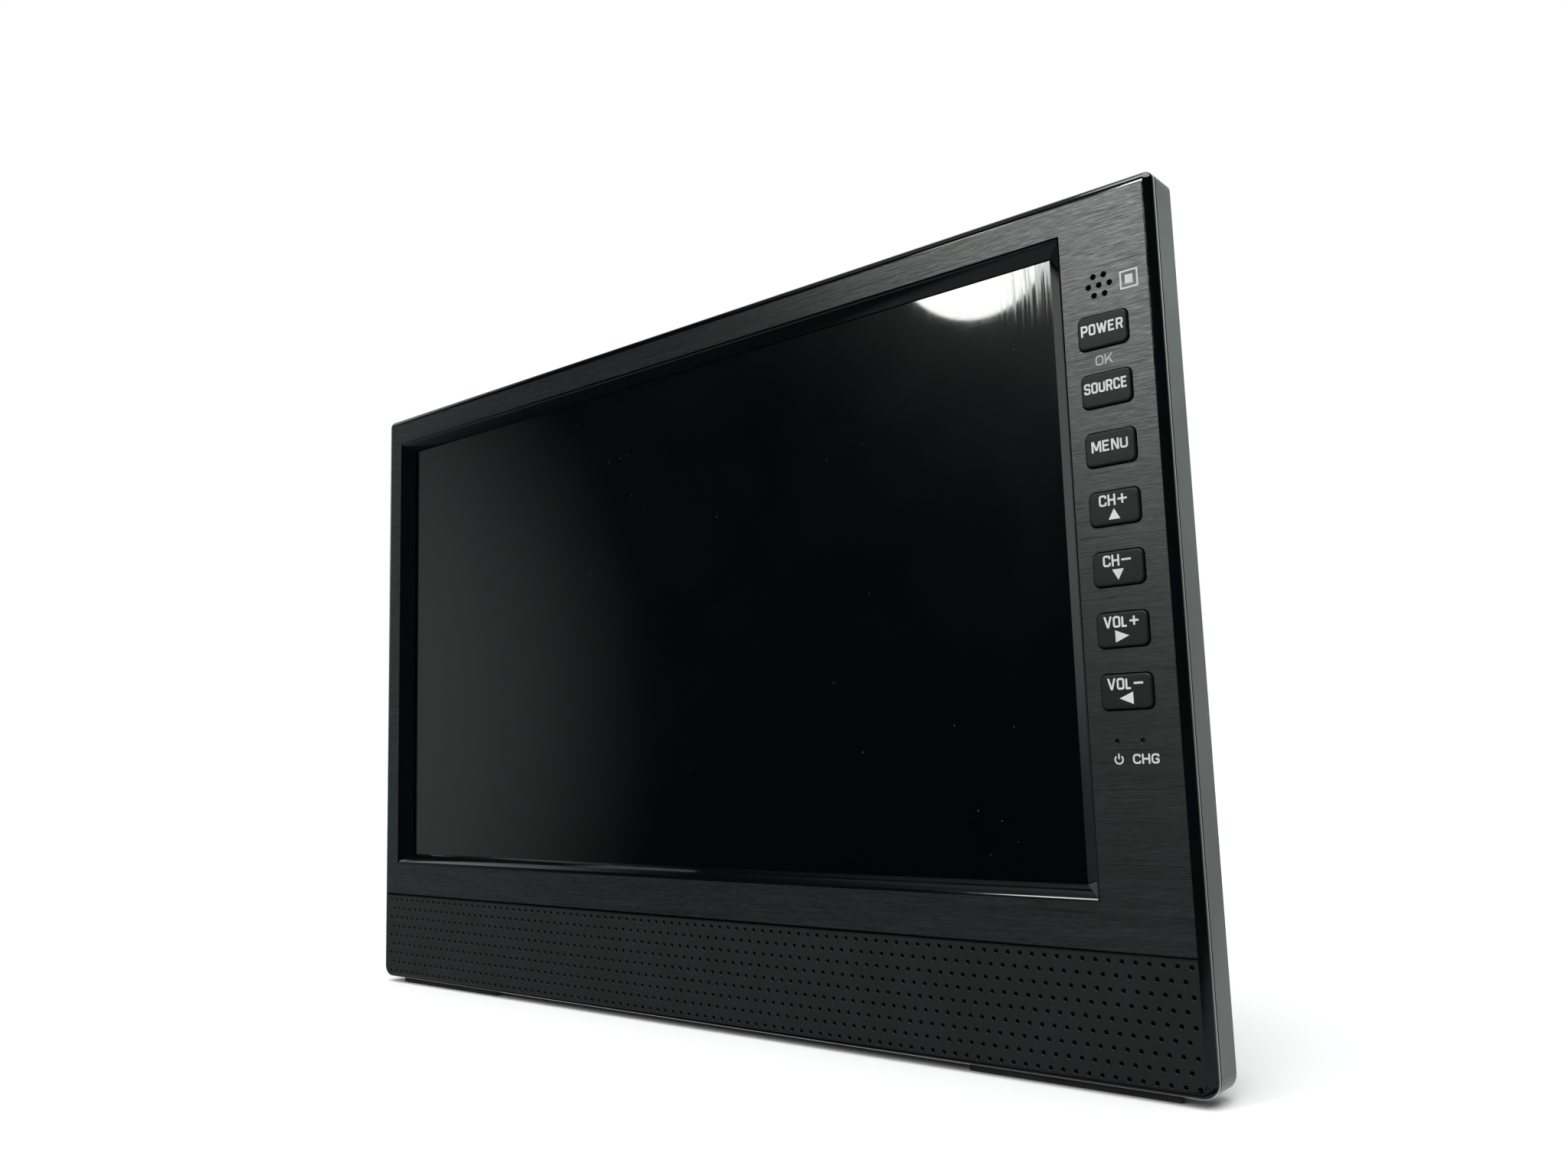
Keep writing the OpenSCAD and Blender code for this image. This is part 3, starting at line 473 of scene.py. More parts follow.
class Shape:
    """The vertices and faces of one piece."""

    def __init__(self):
        self.points = []
        self.faces = []

    def add(self, points):
        """Adds the points and gives their numbers."""
        start = len(self.points)
        self.points += points
        return list(range(start, len(self.points)))

    def loop(self, outline, d):
        """Adds an outline of the case's x and z at depth d."""
        return self.add([at(x, d, z) for x, z in outline])

    def bridge(self, first, second):
        """Joins two closed loops of as many points."""
        for i in range(len(first)):
            j = (i + 1) % len(first)
            self.faces.append((first[i], first[j], second[j], second[i]))

    def loft(self, loops, closed=False):
        """Skins the loops in turn. A closed one meets itself, and any other has flat ends."""
        for first, second in zip(loops, loops[1:]):
            self.bridge(first, second)
        if closed:
            self.bridge(loops[-1], loops[0])
        else:
            self.faces += [tuple(loops[0]), tuple(loops[-1])]

    def fill(self, loops):
        """A flat face inside the first loop and outside the others."""
        joined = [index for loop in loops for index in loop]
        corners = [[self.points[index] for index in loop] for loop in loops]
        self.faces += [tuple(joined[i] for i in triangle) for triangle in tessellate_polygon(corners)]

    def plate(self, outlines, d0, d1, ease=0.0):
        """A plate with holes. Each outline is a function that gives it drawn in by an amount: the
        plate's edge comes first, then its holes, and ease is the chamfer round them all in front."""
        front = [self.loop(outline(-ease if i else ease), d0) for i, outline in enumerate(outlines)]
        eased = [self.loop(outline(0.0), d0 + ease) for outline in outlines] if ease else front
        back = [self.loop(outline(0.0), d1) for outline in outlines]
        self.fill(front)
        self.fill(back)
        for first, second, third in zip(front, eased, back):
            if ease:
                self.bridge(first, second)
            self.bridge(second, third)

    def piece(self, name, look, body, replaces=(), crease=35):
        """Makes the piece, with hard edges where its faces turn by more than crease degrees."""
        mesh = bpy.data.meshes.new(name)
        mesh.from_pydata(self.points, [], self.faces)
        work = bmesh.new()
        work.from_mesh(mesh)
        bmesh.ops.recalc_face_normals(work, faces=work.faces)
        work.to_mesh(mesh)
        work.free()
        mesh.shade_smooth()
        mesh.set_sharp_from_angle(angle=math.radians(crease))
        mesh.materials.append(look)
        made = bpy.data.objects.new(name, mesh)
        bpy.context.scene.collection.objects.link(made)
        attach(made, body)
        if replaces:
            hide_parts(*replaces)


# ---------------------------------------------------------------- the front

def case_loop(inset):
    """The outline of the case, drawn in by inset at the sides and top and by less at the bottom."""
    low = inset * BOTTOM_EDGE / EDGE_W
    return rounded_loop(inset - HALF_W, HALF_W - inset, low, CASE_H - inset,
                        max(BOTTOM_R - inset, 0.4), max(TOP_R - inset, 0.3), 10)


def window_loop(side, end):
    """The window's sharp-cornered outline, drawn in by side at left and right and by end elsewhere."""
    x0, x1, z0, z1 = WINDOW
    return [(x0 + side, z0 + end), (x1 - side, z0 + end), (x1 - side, z1 - end), (x0 + side, z1 - end)]


def key_box(node):
    """The centre, width and height of a key's cap, from its node, which has a flange all round."""
    low, high = node_box(node)
    centre = (low + high) / 2
    around = 2 * (KEY_FLANGE + KEY_TRIM)
    return centre.x, centre.z - BOTTOM, high.x - low.x - around, high.z - low.z - around


def key_hole(node, corner_r):
    """The outline of a key's hole, as a function of the amount that it is drawn in by."""
    x, z, w, h = key_box(node)
    return lambda inset: centred_loop(x, z, w + 2 * (KEY_GAP - inset), h + 2 * (KEY_GAP - inset),
                                      corner_r - inset)


def round_hole(x, z, r):
    """The outline of a round hole, as a function of the amount that it is drawn in by."""
    return lambda inset: ring(x, z, r - inset, 20)


def rounded_edge(shape):
    """The bezel's outer ring, from its parting line over the rounded edge to the plate's seat."""
    edge = [(0.15, LIP_D), (0.03, LIP_D - 0.03), (0.0, LIP_D - 0.15)]      # insets and depths
    steps = 12
    for i in range(steps + 1):
        turn = math.radians(90 * i / steps)
        edge.append((EDGE_W * (1 - math.cos(turn)), ROUND_D - (ROUND_D - RIM_D) * math.sin(turn)))
    edge.append((EDGE_W, LIP_D))
    shape.loft([shape.loop(case_loop(inset), d) for inset, d in edge], closed=True)


def window_surround(shape):
    """The sloped lip round the window and the mitred bevel inside it."""
    lip = [(-0.2, 0.5), (-0.2, 0.0), (0.02, 0.06), (0.2, 0.124), (0.33, 0.178), (0.4, 0.225), (0.46, 0.28)]
    loops = [shape.loop(window_loop(min(inset, 0.4 * inset + 0.01), inset), d) for inset, d in lip]
    loops += [shape.loop(window_loop(BEVEL_SIDE, BEVEL_END), BEZEL_T - 0.05),
              shape.loop(window_loop(BEVEL_SIDE, BEVEL_END), BEZEL_T),
              shape.loop(window_loop(-0.2, -0.2), BEZEL_T)]
    shape.loft(loops, closed=True)


def bezel_walls(shape):
    """The walls behind the trim plate and the speaker band, with their holes."""
    side = HALF_W - INNER_INSET
    low = INNER_INSET * BOTTOM_EDGE / EDGE_W
    upper = rounded_loop(-side, side, BAND_Z1, CASE_H - INNER_INSET, 0.3, 0.3, 3)
    lower = rounded_loop(-side, side, low, BAND_Z1 + 0.2, 1.35, 0.2, 6)

    holes = [lambda inset: window_loop(-0.1, -0.1)]
    holes += [key_hole(node, KEY_R) for node, *_ in KEYS]
    holes.append(round_hole(IR_X, IR_Z, IR_WINDOW_R))
    holes += [round_hole(x, LAMP_Z, LAMP_WELL_R) for x in LAMP_X]
    shape.plate([lambda inset: upper, *holes], TRIM_T + 0.03, BEZEL_T)
    openings = [lambda inset, x=x: centred_loop(x, SPEAKER_Z, *SPEAKER_OPENING, 5)
                for x in (-SPEAKER_X, SPEAKER_X)]
    shape.plate([lambda inset: lower, *openings], BAND_BACK + 0.03, BEZEL_T)


def cover_tongue(shape):
    """The tongue all round that goes into the rear cover."""
    inner = INNER_INSET + TONGUE_T
    tongue = [(INNER_INSET, BEZEL_T - 0.1), (INNER_INSET, TONGUE_D), (inner, TONGUE_D),
              (inner, BEZEL_T - 0.1)]
    shape.loft([shape.loop(case_loop(inset), d) for inset, d in tongue], closed=True)


def front_moulding():
    """The glossy bezel: its rounded edge, the window's bevel, its walls and its tongue."""
    shape = Shape()
    rounded_edge(shape)
    window_surround(shape)
    bezel_walls(shape)
    cover_tongue(shape)
    shape.piece("bezel_moulding", LOOKS["gloss_black"], "case", ["front_bezel"], 20)


def brushed_plate():
    """The trim plate, cut for the window, the keys, the receiver and the lamps."""
    def edge(inset):
        """The plate's outer edge, drawn in by inset."""
        return rounded_loop(inset - TRIM_X, TRIM_X - inset, TRIM_Z0 + inset, TRIM_Z1 - inset, 0.15, 0.6, 5)

    holes = [lambda inset: window_loop(inset - LAND, inset - LAND)]
    holes += [key_hole(node, KEY_R + KEY_GAP) for node, *_ in KEYS]
    holes += [round_hole(x, z, IR_HOLE_R) for x, z in [(IR_X, IR_Z), *ring(IR_X, IR_Z, IR_PITCH, 6)]]
    holes += [round_hole(x, LAMP_Z, LAMP_HOLE_R) for x in LAMP_X]
    shape = Shape()
    shape.plate([edge, *holes], 0.0, TRIM_T, 0.08)
    shape.piece("brushed_plate", LOOKS["brushed_trim"], "case", ["trim_plate"], 20)


def on_band(x, z):
    """The point, pulled onto the band's round corner if it lies outside it."""
    reach_x, reach_z = abs(x) - (TRIM_X - BAND_R), BAND_Z0 + BAND_R - z
    reach = math.hypot(reach_x, reach_z)
    if min(reach_x, reach_z) <= 0 or reach <= BAND_R:
        return x, z
    pulled = BAND_R / reach
    pulled_x = TRIM_X - BAND_R + reach_x * pulled
    return math.copysign(pulled_x, x), BAND_Z0 + BAND_R - reach_z * pulled


def dimple_pattern():
    """The triangles between a dimple's rim and the six grid points round it, as corner numbers."""
    tile = [Vector((x, z, 0)) for z, way in ((1, 1), (-1, -1)) for x in (way, 0, -way)]
    hole = [Vector((x, z, 0)) for x, z in ring(0, 0, DIMPLE[0][0] / HALF_PITCH, DIMPLE_SIDES)]
    return tessellate_polygon([tile, hole])


def dimple(shape, x, z, around, pattern):
    """A dimple between the grid points around, which is deep where a speaker lies behind it."""
    loops = [shape.loop(ring(x, z, r, DIMPLE_SIDES), BAND_D + d) for r, d in DIMPLE]
    corners = [*around, *loops[0]]
    shape.faces += [tuple(corners[i] for i in triangle) for triangle in pattern]
    pierced = (abs(abs(x) - SPEAKER_X) < SPEAKER_OPENING[0] / 2 - 1
               and abs(z - SPEAKER_Z) < SPEAKER_OPENING[1] / 2 - 1)
    floor_d = BAND_BACK - 0.1 if pierced else BAND_D + BLIND_D
    loops.append(shape.loop(ring(x, z, DIMPLE_FLOOR_R, DIMPLE_SIDES), floor_d))
    for upper, lower in zip(loops, loops[1:]):
        shape.bridge(upper, lower)
    shape.faces.append(tuple(loops[-1]))


def band_back(shape, top_edge, grid):
    """The band's side walls and its flat back."""
    right, left = [line[0] for line in grid], [line[-1] for line in grid]
    border = top_edge + left[:-1] + grid[-1][::-1] + right[-2::-1]
    back_y = (FRONT_Y + BAND_BACK) * MM
    back = shape.add([Vector((shape.points[i].x, back_y, shape.points[i].z)) for i in border])
    shape.bridge(border, back)
    shape.faces.append(tuple(back))


def speaker_band():
    """The speaker band: staggered rows of round dimples in a grid of squares."""
    top = BAND_Z1 - BAND_GAP
    columns = round(2 * TRIM_X / HALF_PITCH) + 2
    across = [min(max(LAST_DIMPLE_X + HALF_PITCH * (1 - k), -TRIM_X), TRIM_X) for k in range(columns)]
    rows_z = [max(ROW_TOP + ROW_PITCH * (0.5 - j), BAND_Z0) for j in range(ROWS + 1)]
    shape = Shape()
    top_edge = shape.loop([(x, top) for x in across], BAND_D + BAND_EASE)
    grid = [shape.loop([on_band(x, z) for x in across], BAND_D) for z in [top - BAND_EASE, *rows_z]]

    def square(upper, lower, k):
        """A face between two rows of the grid, from column k to the next."""
        shape.faces.append((upper[k], upper[k + 1], lower[k + 1], lower[k]))

    for k in range(columns - 1):
        square(top_edge, grid[0], k)
        square(grid[0], grid[1], k)
    pattern = dimple_pattern()
    for row in range(ROWS):
        above, below = grid[row + 1], grid[row + 2]
        centres = range(1 + row % 2, columns - 2, 2)
        for k in range(columns - 1):
            if k < centres[0] - 1 or k > centres[-1]:
                square(above, below, k)
        for k in centres:
            x, z = LAST_DIMPLE_X + HALF_PITCH * (1 - k), ROW_TOP - ROW_PITCH * row
            around = [*above[k - 1:k + 2], *below[k - 1:k + 2][::-1]]
            dimple(shape, x, z, around, pattern)
    band_back(shape, top_edge, grid)
    shape.piece("dimpled_speaker_band", LOOKS["dimpled_band"], "case",
                ["speaker_grille"], 40)


def key_cap(node):
    """A key's cap with an eased rim and a slightly crowned face, its flange and its stem."""
    x, z, w, h = key_box(node)
    # Insets and depths from the back of the flange to the crown of the face
    profile = [(-KEY_FLANGE, KEY_FLANGE_D + 0.5), (-KEY_FLANGE, KEY_FLANGE_D), (0.0, KEY_FLANGE_D),
               (0.0, -0.3), (0.02, -0.39), (0.07, -0.47), (0.15, -0.525), (0.25, -0.55),
               (0.4, -0.556), (0.9, -0.566), (1.6, -0.575)]
    shape = Shape()
    loops = []
    for inset, d in profile:
        corner_r = max(KEY_R - inset * 0.6, 0.4)
        loops.append(shape.loop(centred_loop(x, z, w - 2 * inset, h - 2 * inset, corner_r), d))
    shape.loft(loops)
    shape.loft([shape.loop(ring(x, z, KEY_STEM_R, 24), KEY_FLANGE_D + d) for d in (0.3, 0.8)])
    shape.piece(node + "_cap", LOOKS["key_plastic"], node + "_body", [node], 40)


# ---------------------------------------------------------------- printed marks

# Each stroke is a run of corners in a box one wide and one high. A stroke of two corners that
# rises is cut off level at both ends.
GLYPHS = {
    "C": [[(1, 0.7), (1, 1), (0, 1), (0, 0), (1, 0), (1, 0.3)]],
    "E": [[(1, 0), (0, 0), (0, 1), (1, 1)], [(0, 0.52), (0.86, 0.52)]],
    "G": [[(1, 0.72), (1, 1), (0, 1), (0, 0), (1, 0), (1, 0.46), (0.55, 0.46)]],
    "H": [[(0, 0), (0, 1)], [(1, 0), (1, 1)], [(0, 0.5), (1, 0.5)]],
    "K": [[(0, 0), (0, 1)], [(0.08, 0.36), (1, 1)], [(1, 0), (0.42, 0.6)]],
    "L": [[(0, 1), (0, 0), (1, 0)]],
    "M": [[(0, 0), (0, 1)], [(1, 0), (1, 1)], [(0.5, 0.18), (0.08, 1)], [(0.5, 0.18), (0.92, 1)]],
    "N": [[(0, 0), (0, 1)], [(1, 0), (1, 1)], [(0.9, 0), (0.1, 1)]],
    "O": [[(0.5, 0), (0, 0), (0, 1), (1, 1), (1, 0), (0.5, 0)]],
    "P": [[(0, 0), (0, 1)], [(0, 1), (1, 1), (1, 0.42), (0, 0.42)]],
    "R": [[(0, 0), (0, 1)], [(0, 1), (1, 1), (1, 0.46), (0, 0.46)], [(0.98, 0), (0.62, 0.46)]],
    "S": [[(1, 0.75), (1, 1), (0, 1), (0, 0.52), (1, 0.48), (1, 0), (0, 0), (0, 0.25)]],
    "U": [[(0, 1), (0, 0), (1, 0), (1, 1)]],
    "V": [[(0.5, 0), (0, 1)], [(0.5, 0), (1, 1)]],
    "W": [[(0.26, 0), (0, 1)], [(0.26, 0), (0.5, 0.9)], [(0.74, 0), (0.5, 0.9)], [(0.74, 0), (1, 1)]],
    "+": [[(0, 0.5), (1, 0.5)], [(0.5, 0.12), (0.5, 0.88)]],
    "-": [[(0, 0.5), (1, 0.5)]],
}
ROUND_LETTERS = "CGOPRSU"
WIDTHS = {"M": 1.35, "W": 1.75, "L": 0.75, "+": 1.6, "-": 1.65, "V": 1.15}
LETTER_GAP = 0.2
INK_T = 0.02
INK_STEP = 0.003


def softened(path, reach):
    """The path with each inner corner turned over reach, as a short curve."""
    if reach <= 0:
        return path
    made = [path[0]]
    for before, corner, after in zip(path, path[1:], path[2:]):
        start = corner + (before - corner).normalized() * min(reach, (before - corner).length / 2)
        end = corner + (after - corner).normalized() * min(reach, (after - corner).length / 2)
        for i in range(6):
            share = i / 5
            made.append(start.lerp(corner, share).lerp(corner.lerp(end, share), share))
    return [*made, path[-1]]


def ribbon(path, width):
    """The outline of a stroke of even width, mitred at its corners."""
    path = [point for i, point in enumerate(path) if i == 0 or (point - path[i - 1]).length > 1e-6]
    ways = [(b - a).normalized() for a, b in zip(path, path[1:])]
    sides = ([], [])
    for i, point in enumerate(path):
        before, after = ways[max(i - 1, 0)], ways[min(i, len(ways) - 1)]
        way = (before + after).normalized()
        across = Vector((-way.y, way.x))
        stretch = 1 / max(across.dot(Vector((-before.y, before.x))), 0.5)
        for side, sign in zip(sides, (1, -1)):
            side.append(point + across * (sign * width / 2 * stretch))
    return sides[0] + sides[1][::-1]


def slant(low, high, width):
    """The outline of a straight rising stroke, cut off level, half its width past its ends."""
    low, high = low - Vector((0, width / 2)), high + Vector((0, width / 2))
    half = Vector((width / 2 * (high - low).length / (high.y - low.y), 0))
    return [low - half, low + half, high + half, high - half]


def ink(shape, outline, d, layer=0):
    """A flat mark on a face at depth d. Later layers lie just under the earlier ones."""
    count = len(outline) // 2
    front, back = [shape.loop([(p.x, p.y) for p in outline], d + side)
                   for side in (INK_STEP * layer - INK_T, INK_T)]
    for loop in (front, back):
        for i in range(count - 1):
            shape.faces.append((loop[i], loop[i + 1], loop[2 * count - 2 - i], loop[2 * count - 1 - i]))
    shape.bridge(front, back)


def lettering(shape, text, x, z, d, width, cap, pen, soft):
    """text centred at x, z, as wide as width over its ink, cap high, in strokes pen wide."""
    shares = [WIDTHS.get(letter, 1.0) for letter in text]
    unit = (width - pen * len(text)) / (sum(shares) + LETTER_GAP * (len(text) - 1))
    high = cap - pen
    left = x - width / 2 + pen / 2
    for letter, share in zip(text, shares):
        w = share * unit
        tall = w if letter in "+-" else high
        for layer, corners in enumerate(GLYPHS[letter]):
            path = [Vector((left + u * w, z + (v - 0.5) * tall)) for u, v in corners]
            if len(path) == 2 and path[1].y > path[0].y:
                outline = slant(*path, pen)
            else:
                outline = ribbon(softened(path, soft * unit if letter in ROUND_LETTERS else 0), pen)
            ink(shape, outline, d, layer)
        left += w + pen + LETTER_GAP * unit


def arrow(shape, x, z, d, heading):
    """A solid triangle that points along heading, in degrees from the right."""
    wide, tall = (2.45, 2.05) if heading % 180 == 0 else (1.86, 2.1)
    turn = math.radians(heading)
    along, across = Vector((math.cos(turn), math.sin(turn))), Vector((-math.sin(turn), math.cos(turn)))
    centre = Vector((x, z))
    tip, base = centre + along * (wide / 2), centre - along * (wide / 2)
    outline = [tuple(p) for p in (tip, base + across * (tall / 2), base - across * (tall / 2))]
    shape.loft([shape.loop(outline, d - INK_T), shape.loop(outline, d + INK_T)])


def key_prints():
    """The white label of each key, which rides on it."""
    face_d = -KEY_PROUD + INK_T
    label_rise, two_line_rise, arrow_drop = 0.45, 1.32, 1.12
    cap, pen, soft = 1.95, 0.34, 0.34
    for node, text, width, heading in KEYS:
        x, z, _, _ = key_box(node)
        shape = Shape()
        rise = label_rise if heading is None else two_line_rise
        lettering(shape, text, x, z + rise, face_d, width, cap, pen, soft)
        if heading is not None:
            arrow(shape, x, z - arrow_drop, face_d, heading)
        shape.piece(node + "_print", WHITE_INK, node + "_body")


def plate_prints():
    """The marks on the brushed plate: OK, a plain receiver mark, the power sign and CHG."""
    grey = Shape()
    lettering(grey, "OK", 103.95, 121.9, 0.0, 3.2, 1.76, 0.24, 0.5)
    grey.piece("ok_print", GREY_INK, "case")

    white = Shape()
    lettering(white, "CHG", LAMP_X[1] + 0.35, 53.3, 0.0, 4.6, 1.66, 0.3, 0.5)
    power, power_r, pen, mouth = Vector((LAMP_X[0] + 0.1, 53.25)), 0.7, 0.26, 42
    turns = [math.radians(degrees) for degrees in range(mouth, 361 - mouth, 12)]
    arc = [power + Vector((power_r * math.sin(turn), power_r * math.cos(turn))) for turn in turns]
    ink(white, ribbon(arc, pen), 0.0)
    ink(white, slant(power + Vector((0, 0.2)), power + Vector((0, 0.85)), pen), 0.0)

    mark, half, pen, middle = Vector((109.4, 135.0)), 1.5, 0.3, 1.4
    sides = [mark + Vector((u * half, v * half))
             for u, v in ((0, -1), (-1, -1), (-1, 1), (1, 1), (1, -1), (0, -1))]
    ink(white, ribbon(sides, pen), 0.0)
    ink(white, slant(mark - Vector((0, 0.1)), mark + Vector((0, 0.1)), middle), 0.0)
    white.piece("plate_print", WHITE_INK, "case")


# ---------------------------------------------------------------- the back and the sockets

def ease_edges():
    """Rounds the sharp edges of the CAD nodes that show outside, without moving them."""
    widths = {"rear_cover": 0.35, "kickstand": 0.35, "rubber_feet": 0.45, "stand_pad": 0.25,
              "blank_label": 0.05, "cover_screws": 0.15, "usb_socket": 0.12, "card_socket": 0.08,
              "dc_socket": 0.2, "av_socket": 0.2, "headphone_socket": 0.2}
    for name, width in widths.items():
        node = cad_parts[name]
        weld = node.modifiers.new("weld", "WELD")
        weld.merge_threshold = 0.001 * MM
        bevel = node.modifiers.new("ease", "BEVEL")
        bevel.width = width * MM
        bevel.segments = 3
        bevel.limit_method = "ANGLE"
        bevel.angle_limit = math.radians(40)
        bevel.use_clamp_overlap = True
        node.modifiers.new("shade", "WEIGHTED_NORMAL").keep_sharp = True


def threaded_aerial():
    """The aerial socket turned from brass and plated: a real thread, a collar, a flange, a block."""
    around, pitch, thread_depth = 40, 0.8, 0.22
    x0 = aerial_low.x
    centre_y, centre_z = (aerial_low.y + aerial_high.y) / 2, (aerial_low.z + aerial_high.z) / 2
    barrel_r, collar_r, flange_r, pin_hole_r = 4.7, 5.6, 6.7, 1.2
    thread_from, thread_to = 0.5, 7.5
    collar_from, flange_from, flange_to = 7.6, 10.7, 12.5
    shape = Shape()

    def lathe_ring(x, r, threaded=False):
        """A ring round the socket's axis, x inwards from its mouth."""
        points = []
        for i in range(around):
            turn = math.tau * i / around
            phase = (x / pitch - i / around) % 1.0
            cut = thread_depth * abs(2 * phase - 1) if threaded else 0.0
            points.append(Vector((x0 + x, centre_y + (r - cut) * math.cos(turn),
                                  centre_z + (r - cut) * math.sin(turn))) * MM)
        return shape.add(points)

    count = round((thread_to - thread_from) / pitch * 8)
    loops = [lathe_ring(flange_from - 2, pin_hole_r), lathe_ring(0.0, pin_hole_r),
             lathe_ring(0.0, barrel_r - 0.5)]
    loops += [lathe_ring(thread_from + (thread_to - thread_from) * i / count, barrel_r, True)
              for i in range(count + 1)]
    loops += [lathe_ring(x, r) for x, r in (
        (collar_from, barrel_r), (collar_from, collar_r), (flange_from, collar_r),
        (flange_from, flange_r), (flange_to, flange_r))]
    shape.loft(loops)

    block_from, block_to, block_d, block_t, block_h = 12.45, 24.5, 13.6, 6.0, 6.8
    corners = [(FRONT_Y + block_d + y * block_t, centre_z + z * block_h)
               for y, z in ((0, -0.5), (1, -0.5), (1, 0.5), (0, 0.5))]
    shape.loft([shape.add([Vector((x0 + x, y, z)) * MM for y, z in corners])
                for x in (block_from, block_to)])
    shape.piece("threaded_aerial_socket", LOOKS["nickel"], "case", ["antenna_socket"], 30)


def usb_contacts():
    """The four contact strips on the tongue of the USB socket."""
    shape = Shape()
    strip_from, strip_to, half_w, thick = 2.2, 10.5, 0.5, 0.12
    tongue_y = (usb_low.y + usb_high.y) / 2 - 0.3
    centre_z = (usb_low.z + usb_high.z) / 2
    for offset in (-3.5, -1.0, 1.0, 3.5):
        corners = [(tongue_y + y, centre_z + offset + z)
                   for y, z in ((0, -half_w), (0, half_w), (thick, half_w), (thick, -half_w))]
        shape.loft([shape.add([Vector((usb_low.x + x, y, z)) * MM for y, z in corners])
                    for x in (strip_from, strip_to)])
    shape.piece("usb_contacts", LOOKS["nickel"], "case")


# ---------------------------------------------------------------- floor, light and camera

def pale_floor():
    """A plain white floor, left out of mirror reflections as the dark bevels of the photograph ask."""
    half = 4.0
    corners = [(-half, -half, 0), (half, -half, 0), (half, half, 0), (-half, half, 0)]
    mesh = bpy.data.meshes.new("floor")
    mesh.from_pydata(corners, [], [(0, 1, 2, 3)])
    floor = bpy.data.objects.new("floor", mesh)
    bpy.context.scene.collection.objects.link(floor)
    look = Look("floor", (0.88, 0.88, 0.88), 0.9)
    mesh.materials.append(look.material)
    floor.visible_glossy = False


def direction(azimuth, elevation):
    """A unit vector towards azimuth, in degrees from the front round to the left, and elevation."""
    a, e = math.radians(azimuth), math.radians(elevation)
    return Vector((-math.sin(a) * math.cos(e), -math.cos(a) * math.cos(e), math.sin(e)))


def studio_world():
    """A white wall behind, a dark room in front, and soft glows that the gloss and the bevels mirror."""
    world = bpy.data.worlds.new("studio")
    world.use_nodes = True
    bpy.context.scene.world = world
    tree = world.node_tree
    tree.nodes.clear()

    dark_room = 0.006
    glows = [
        # azimuth, elevation, angle where the full glow ends, angle where it is gone, strength
        (180, 0, 0, 90, 1.1),         # the wall behind
        (68, 2, 10, 23, 0.24),        # the left third of the display
        (87, 18, 12, 25, 1.05),       # the window's right bevel, over the display
        (88, 33, 4, 13, 0.2),         # the window's bottom bevel, over the display
        (112, 13, 3, 21, 0.5),        # the left edge
        (46, 52, 5, 14, 0.4),         # the top edge, at its front
        (126, 54, 10, 24, 0.4),       # the top edge, farther up
        (150, 65, 10, 38, 0.5),       # the top edge, at its crest
        (204, 30, 6, 24, 0.55),       # the upper part of the right side
        (0, -90, 76, 80, 0.26),       # what lies below
        (0, -90, 49, 66, -0.25),      # a shade under the window's top bevel
        (0, -90, 33, 37, 0.2),        # and a lighter patch in its middle
    ]
    way = add_node(tree, "ShaderNodeTexCoord").outputs["Generated"]
    total = dark_room
    for azimuth, elevation, full, edge, strength in glows:
        facing = add_node(tree, "ShaderNodeVectorMath", {0: way, 1: direction(azimuth, elevation)},
                          operation="DOT_PRODUCT").outputs["Value"]
        limits = {1: math.cos(math.radians(edge)), 2: math.cos(math.radians(full)), 3: 0.0, 4: strength}
        share = add_node(tree, "ShaderNodeMapRange", {0: facing, **limits},
                         interpolation_type="SMOOTHSTEP").outputs["Result"]
        total = add_node(tree, "ShaderNodeMath", {0: total, 1: share}, operation="ADD").outputs[0]
    lit = add_node(tree, "ShaderNodeBackground", {"Color": (0.89, 1.0, 0.95, 1), "Strength": total})
    seen = add_node(tree, "ShaderNodeBackground", {"Color": (1, 1, 1, 1), "Strength": 1.0})
    ray = add_node(tree, "ShaderNodeLightPath").outputs["Is Camera Ray"]
    mixed = add_node(tree, "ShaderNodeMixShader", {0: ray, 1: lit.outputs[0], 2: seen.outputs[0]})
    add_node(tree, "ShaderNodeOutputWorld", {"Surface": mixed.outputs[0]})


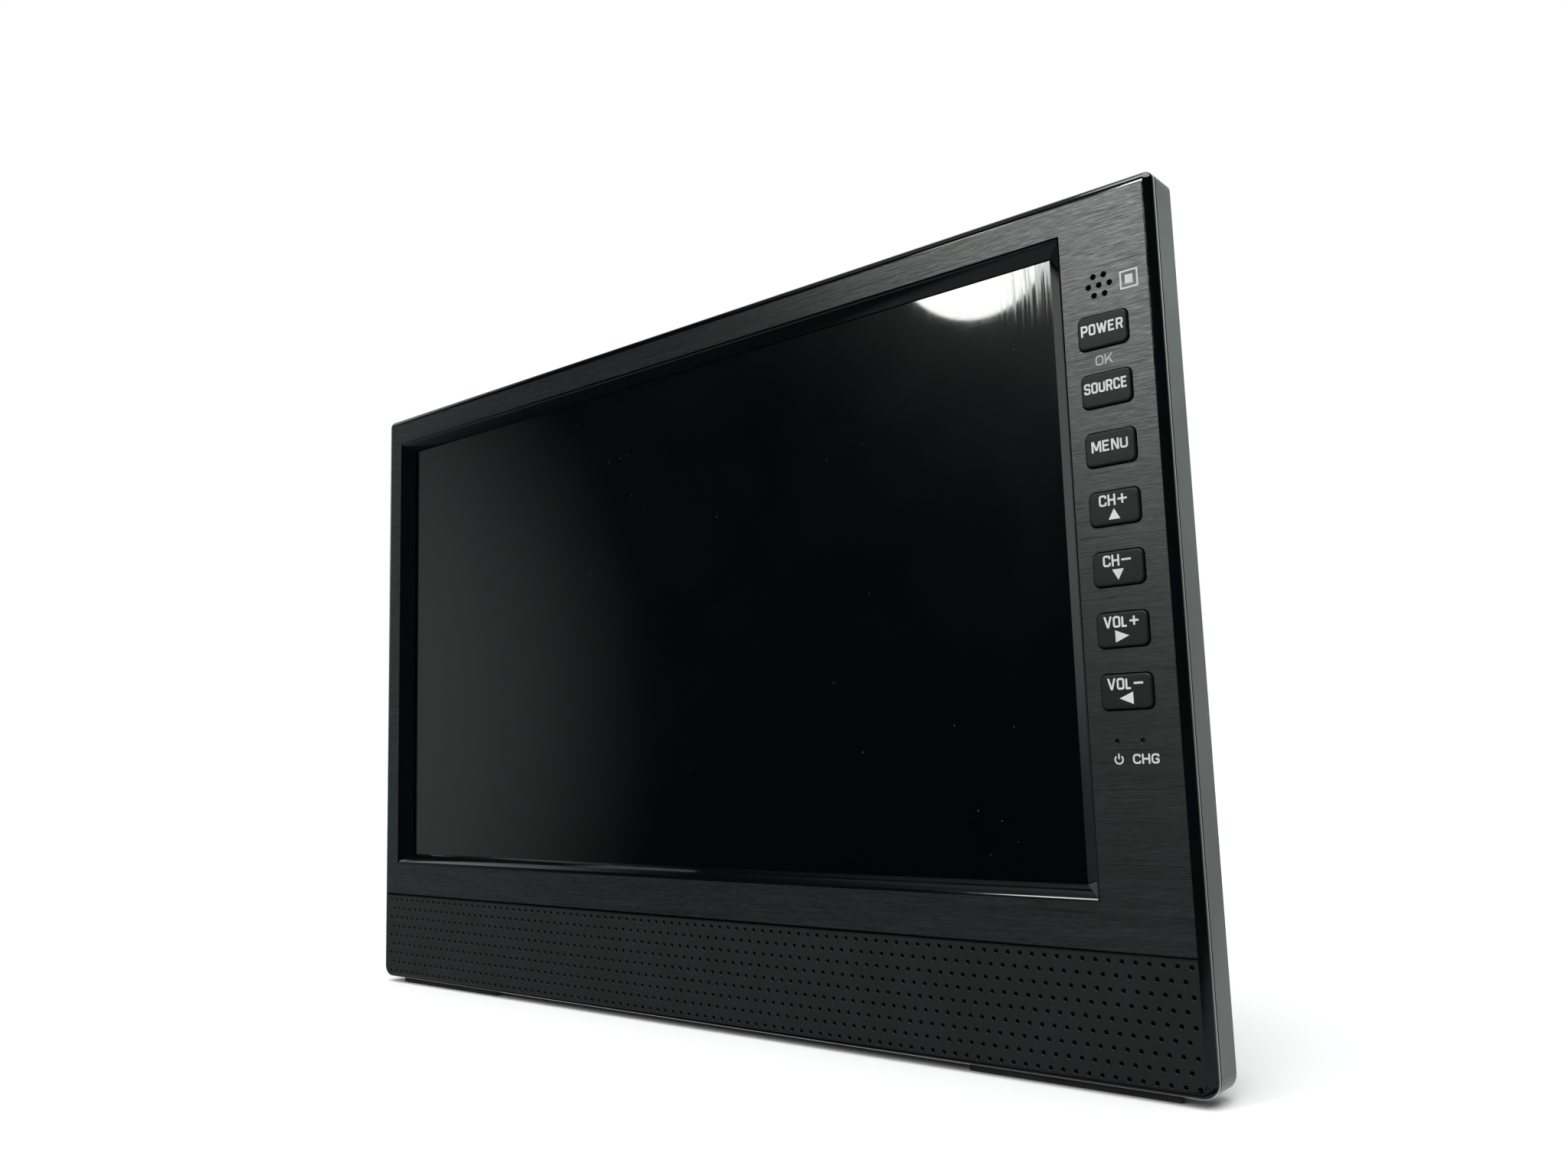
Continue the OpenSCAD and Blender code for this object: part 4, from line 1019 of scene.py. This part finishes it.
def area_light(name, target, azimuth, elevation, distance, width, height, radiance, shape="RECTANGLE",
               colour=(1, 1, 1)):
    """A soft light in that direction from target, in metres, as bright as radiance all over its face."""
    data = bpy.data.lights.new(name, "AREA")
    data.shape = shape
    data.size = width
    data.size_y = height
    data.color = colour
    filled = math.pi / 4 if shape == "ELLIPSE" else 1.0
    data.energy = radiance * math.pi * width * height * filled
    lamp = bpy.data.objects.new(name, data)
    bpy.context.scene.collection.objects.link(lamp)
    away = direction(azimuth, elevation)
    turned = away.to_track_quat("Z", "Y").to_matrix().to_4x4()
    lamp.matrix_world = Matrix.Translation(target + away * distance) @ turned


def lights():
    """The round lamp seen in the display, a tall softbox for the plate, and soft light from above."""
    area_light("ceiling_lamp", at(80, GLASS_D, 155), azimuth=30.5, elevation=23.4, distance=1.2,
               width=0.19, height=0.215, radiance=10.5, shape="ELLIPSE", colour=(0.96, 1.0, 0.94))
    area_light("softbox", at(100, 0, 150), azimuth=21, elevation=25, distance=4.0,
               width=0.42, height=1.12, radiance=22.0)
    sun = bpy.data.lights.new("overhead", "SUN")
    sun.energy = 3.3
    sun.angle = math.radians(60)
    overhead = bpy.data.objects.new("overhead", sun)
    bpy.context.scene.collection.objects.link(overhead)
    overhead.rotation_euler = direction(-20, 66).to_track_quat("Z", "Y").to_euler()


def camera():
    """The photograph's view: from in front of the right-hand edge, low down, looking up a little."""
    data = bpy.data.cameras.new("camera")
    data.sensor_width = 36.0
    data.lens = 28.74
    data.clip_start = 0.01
    made = bpy.data.objects.new("camera", data)
    bpy.context.scene.collection.objects.link(made)
    place = (0.19409, -0.21146, 0.05736)
    heading, pitch, roll = math.radians(39.61), math.radians(7.545), math.radians(-1.82)
    made.matrix_world = (Matrix.Translation(place) @ Matrix.Rotation(heading, 4, "Z")
                         @ Matrix.Rotation(math.pi / 2 + pitch, 4, "X") @ Matrix.Rotation(roll, 4, "Z"))
    bpy.context.scene.camera = made


finish_cad_nodes()
front_moulding()
brushed_plate()
speaker_band()
for key, *_ in KEYS:
    key_cap(key)
key_prints()
plate_prints()
ease_edges()
threaded_aerial()
usb_contacts()
pale_floor()
studio_world()
lights()
camera()
bpy.context.scene.view_settings.view_transform = "Standard"
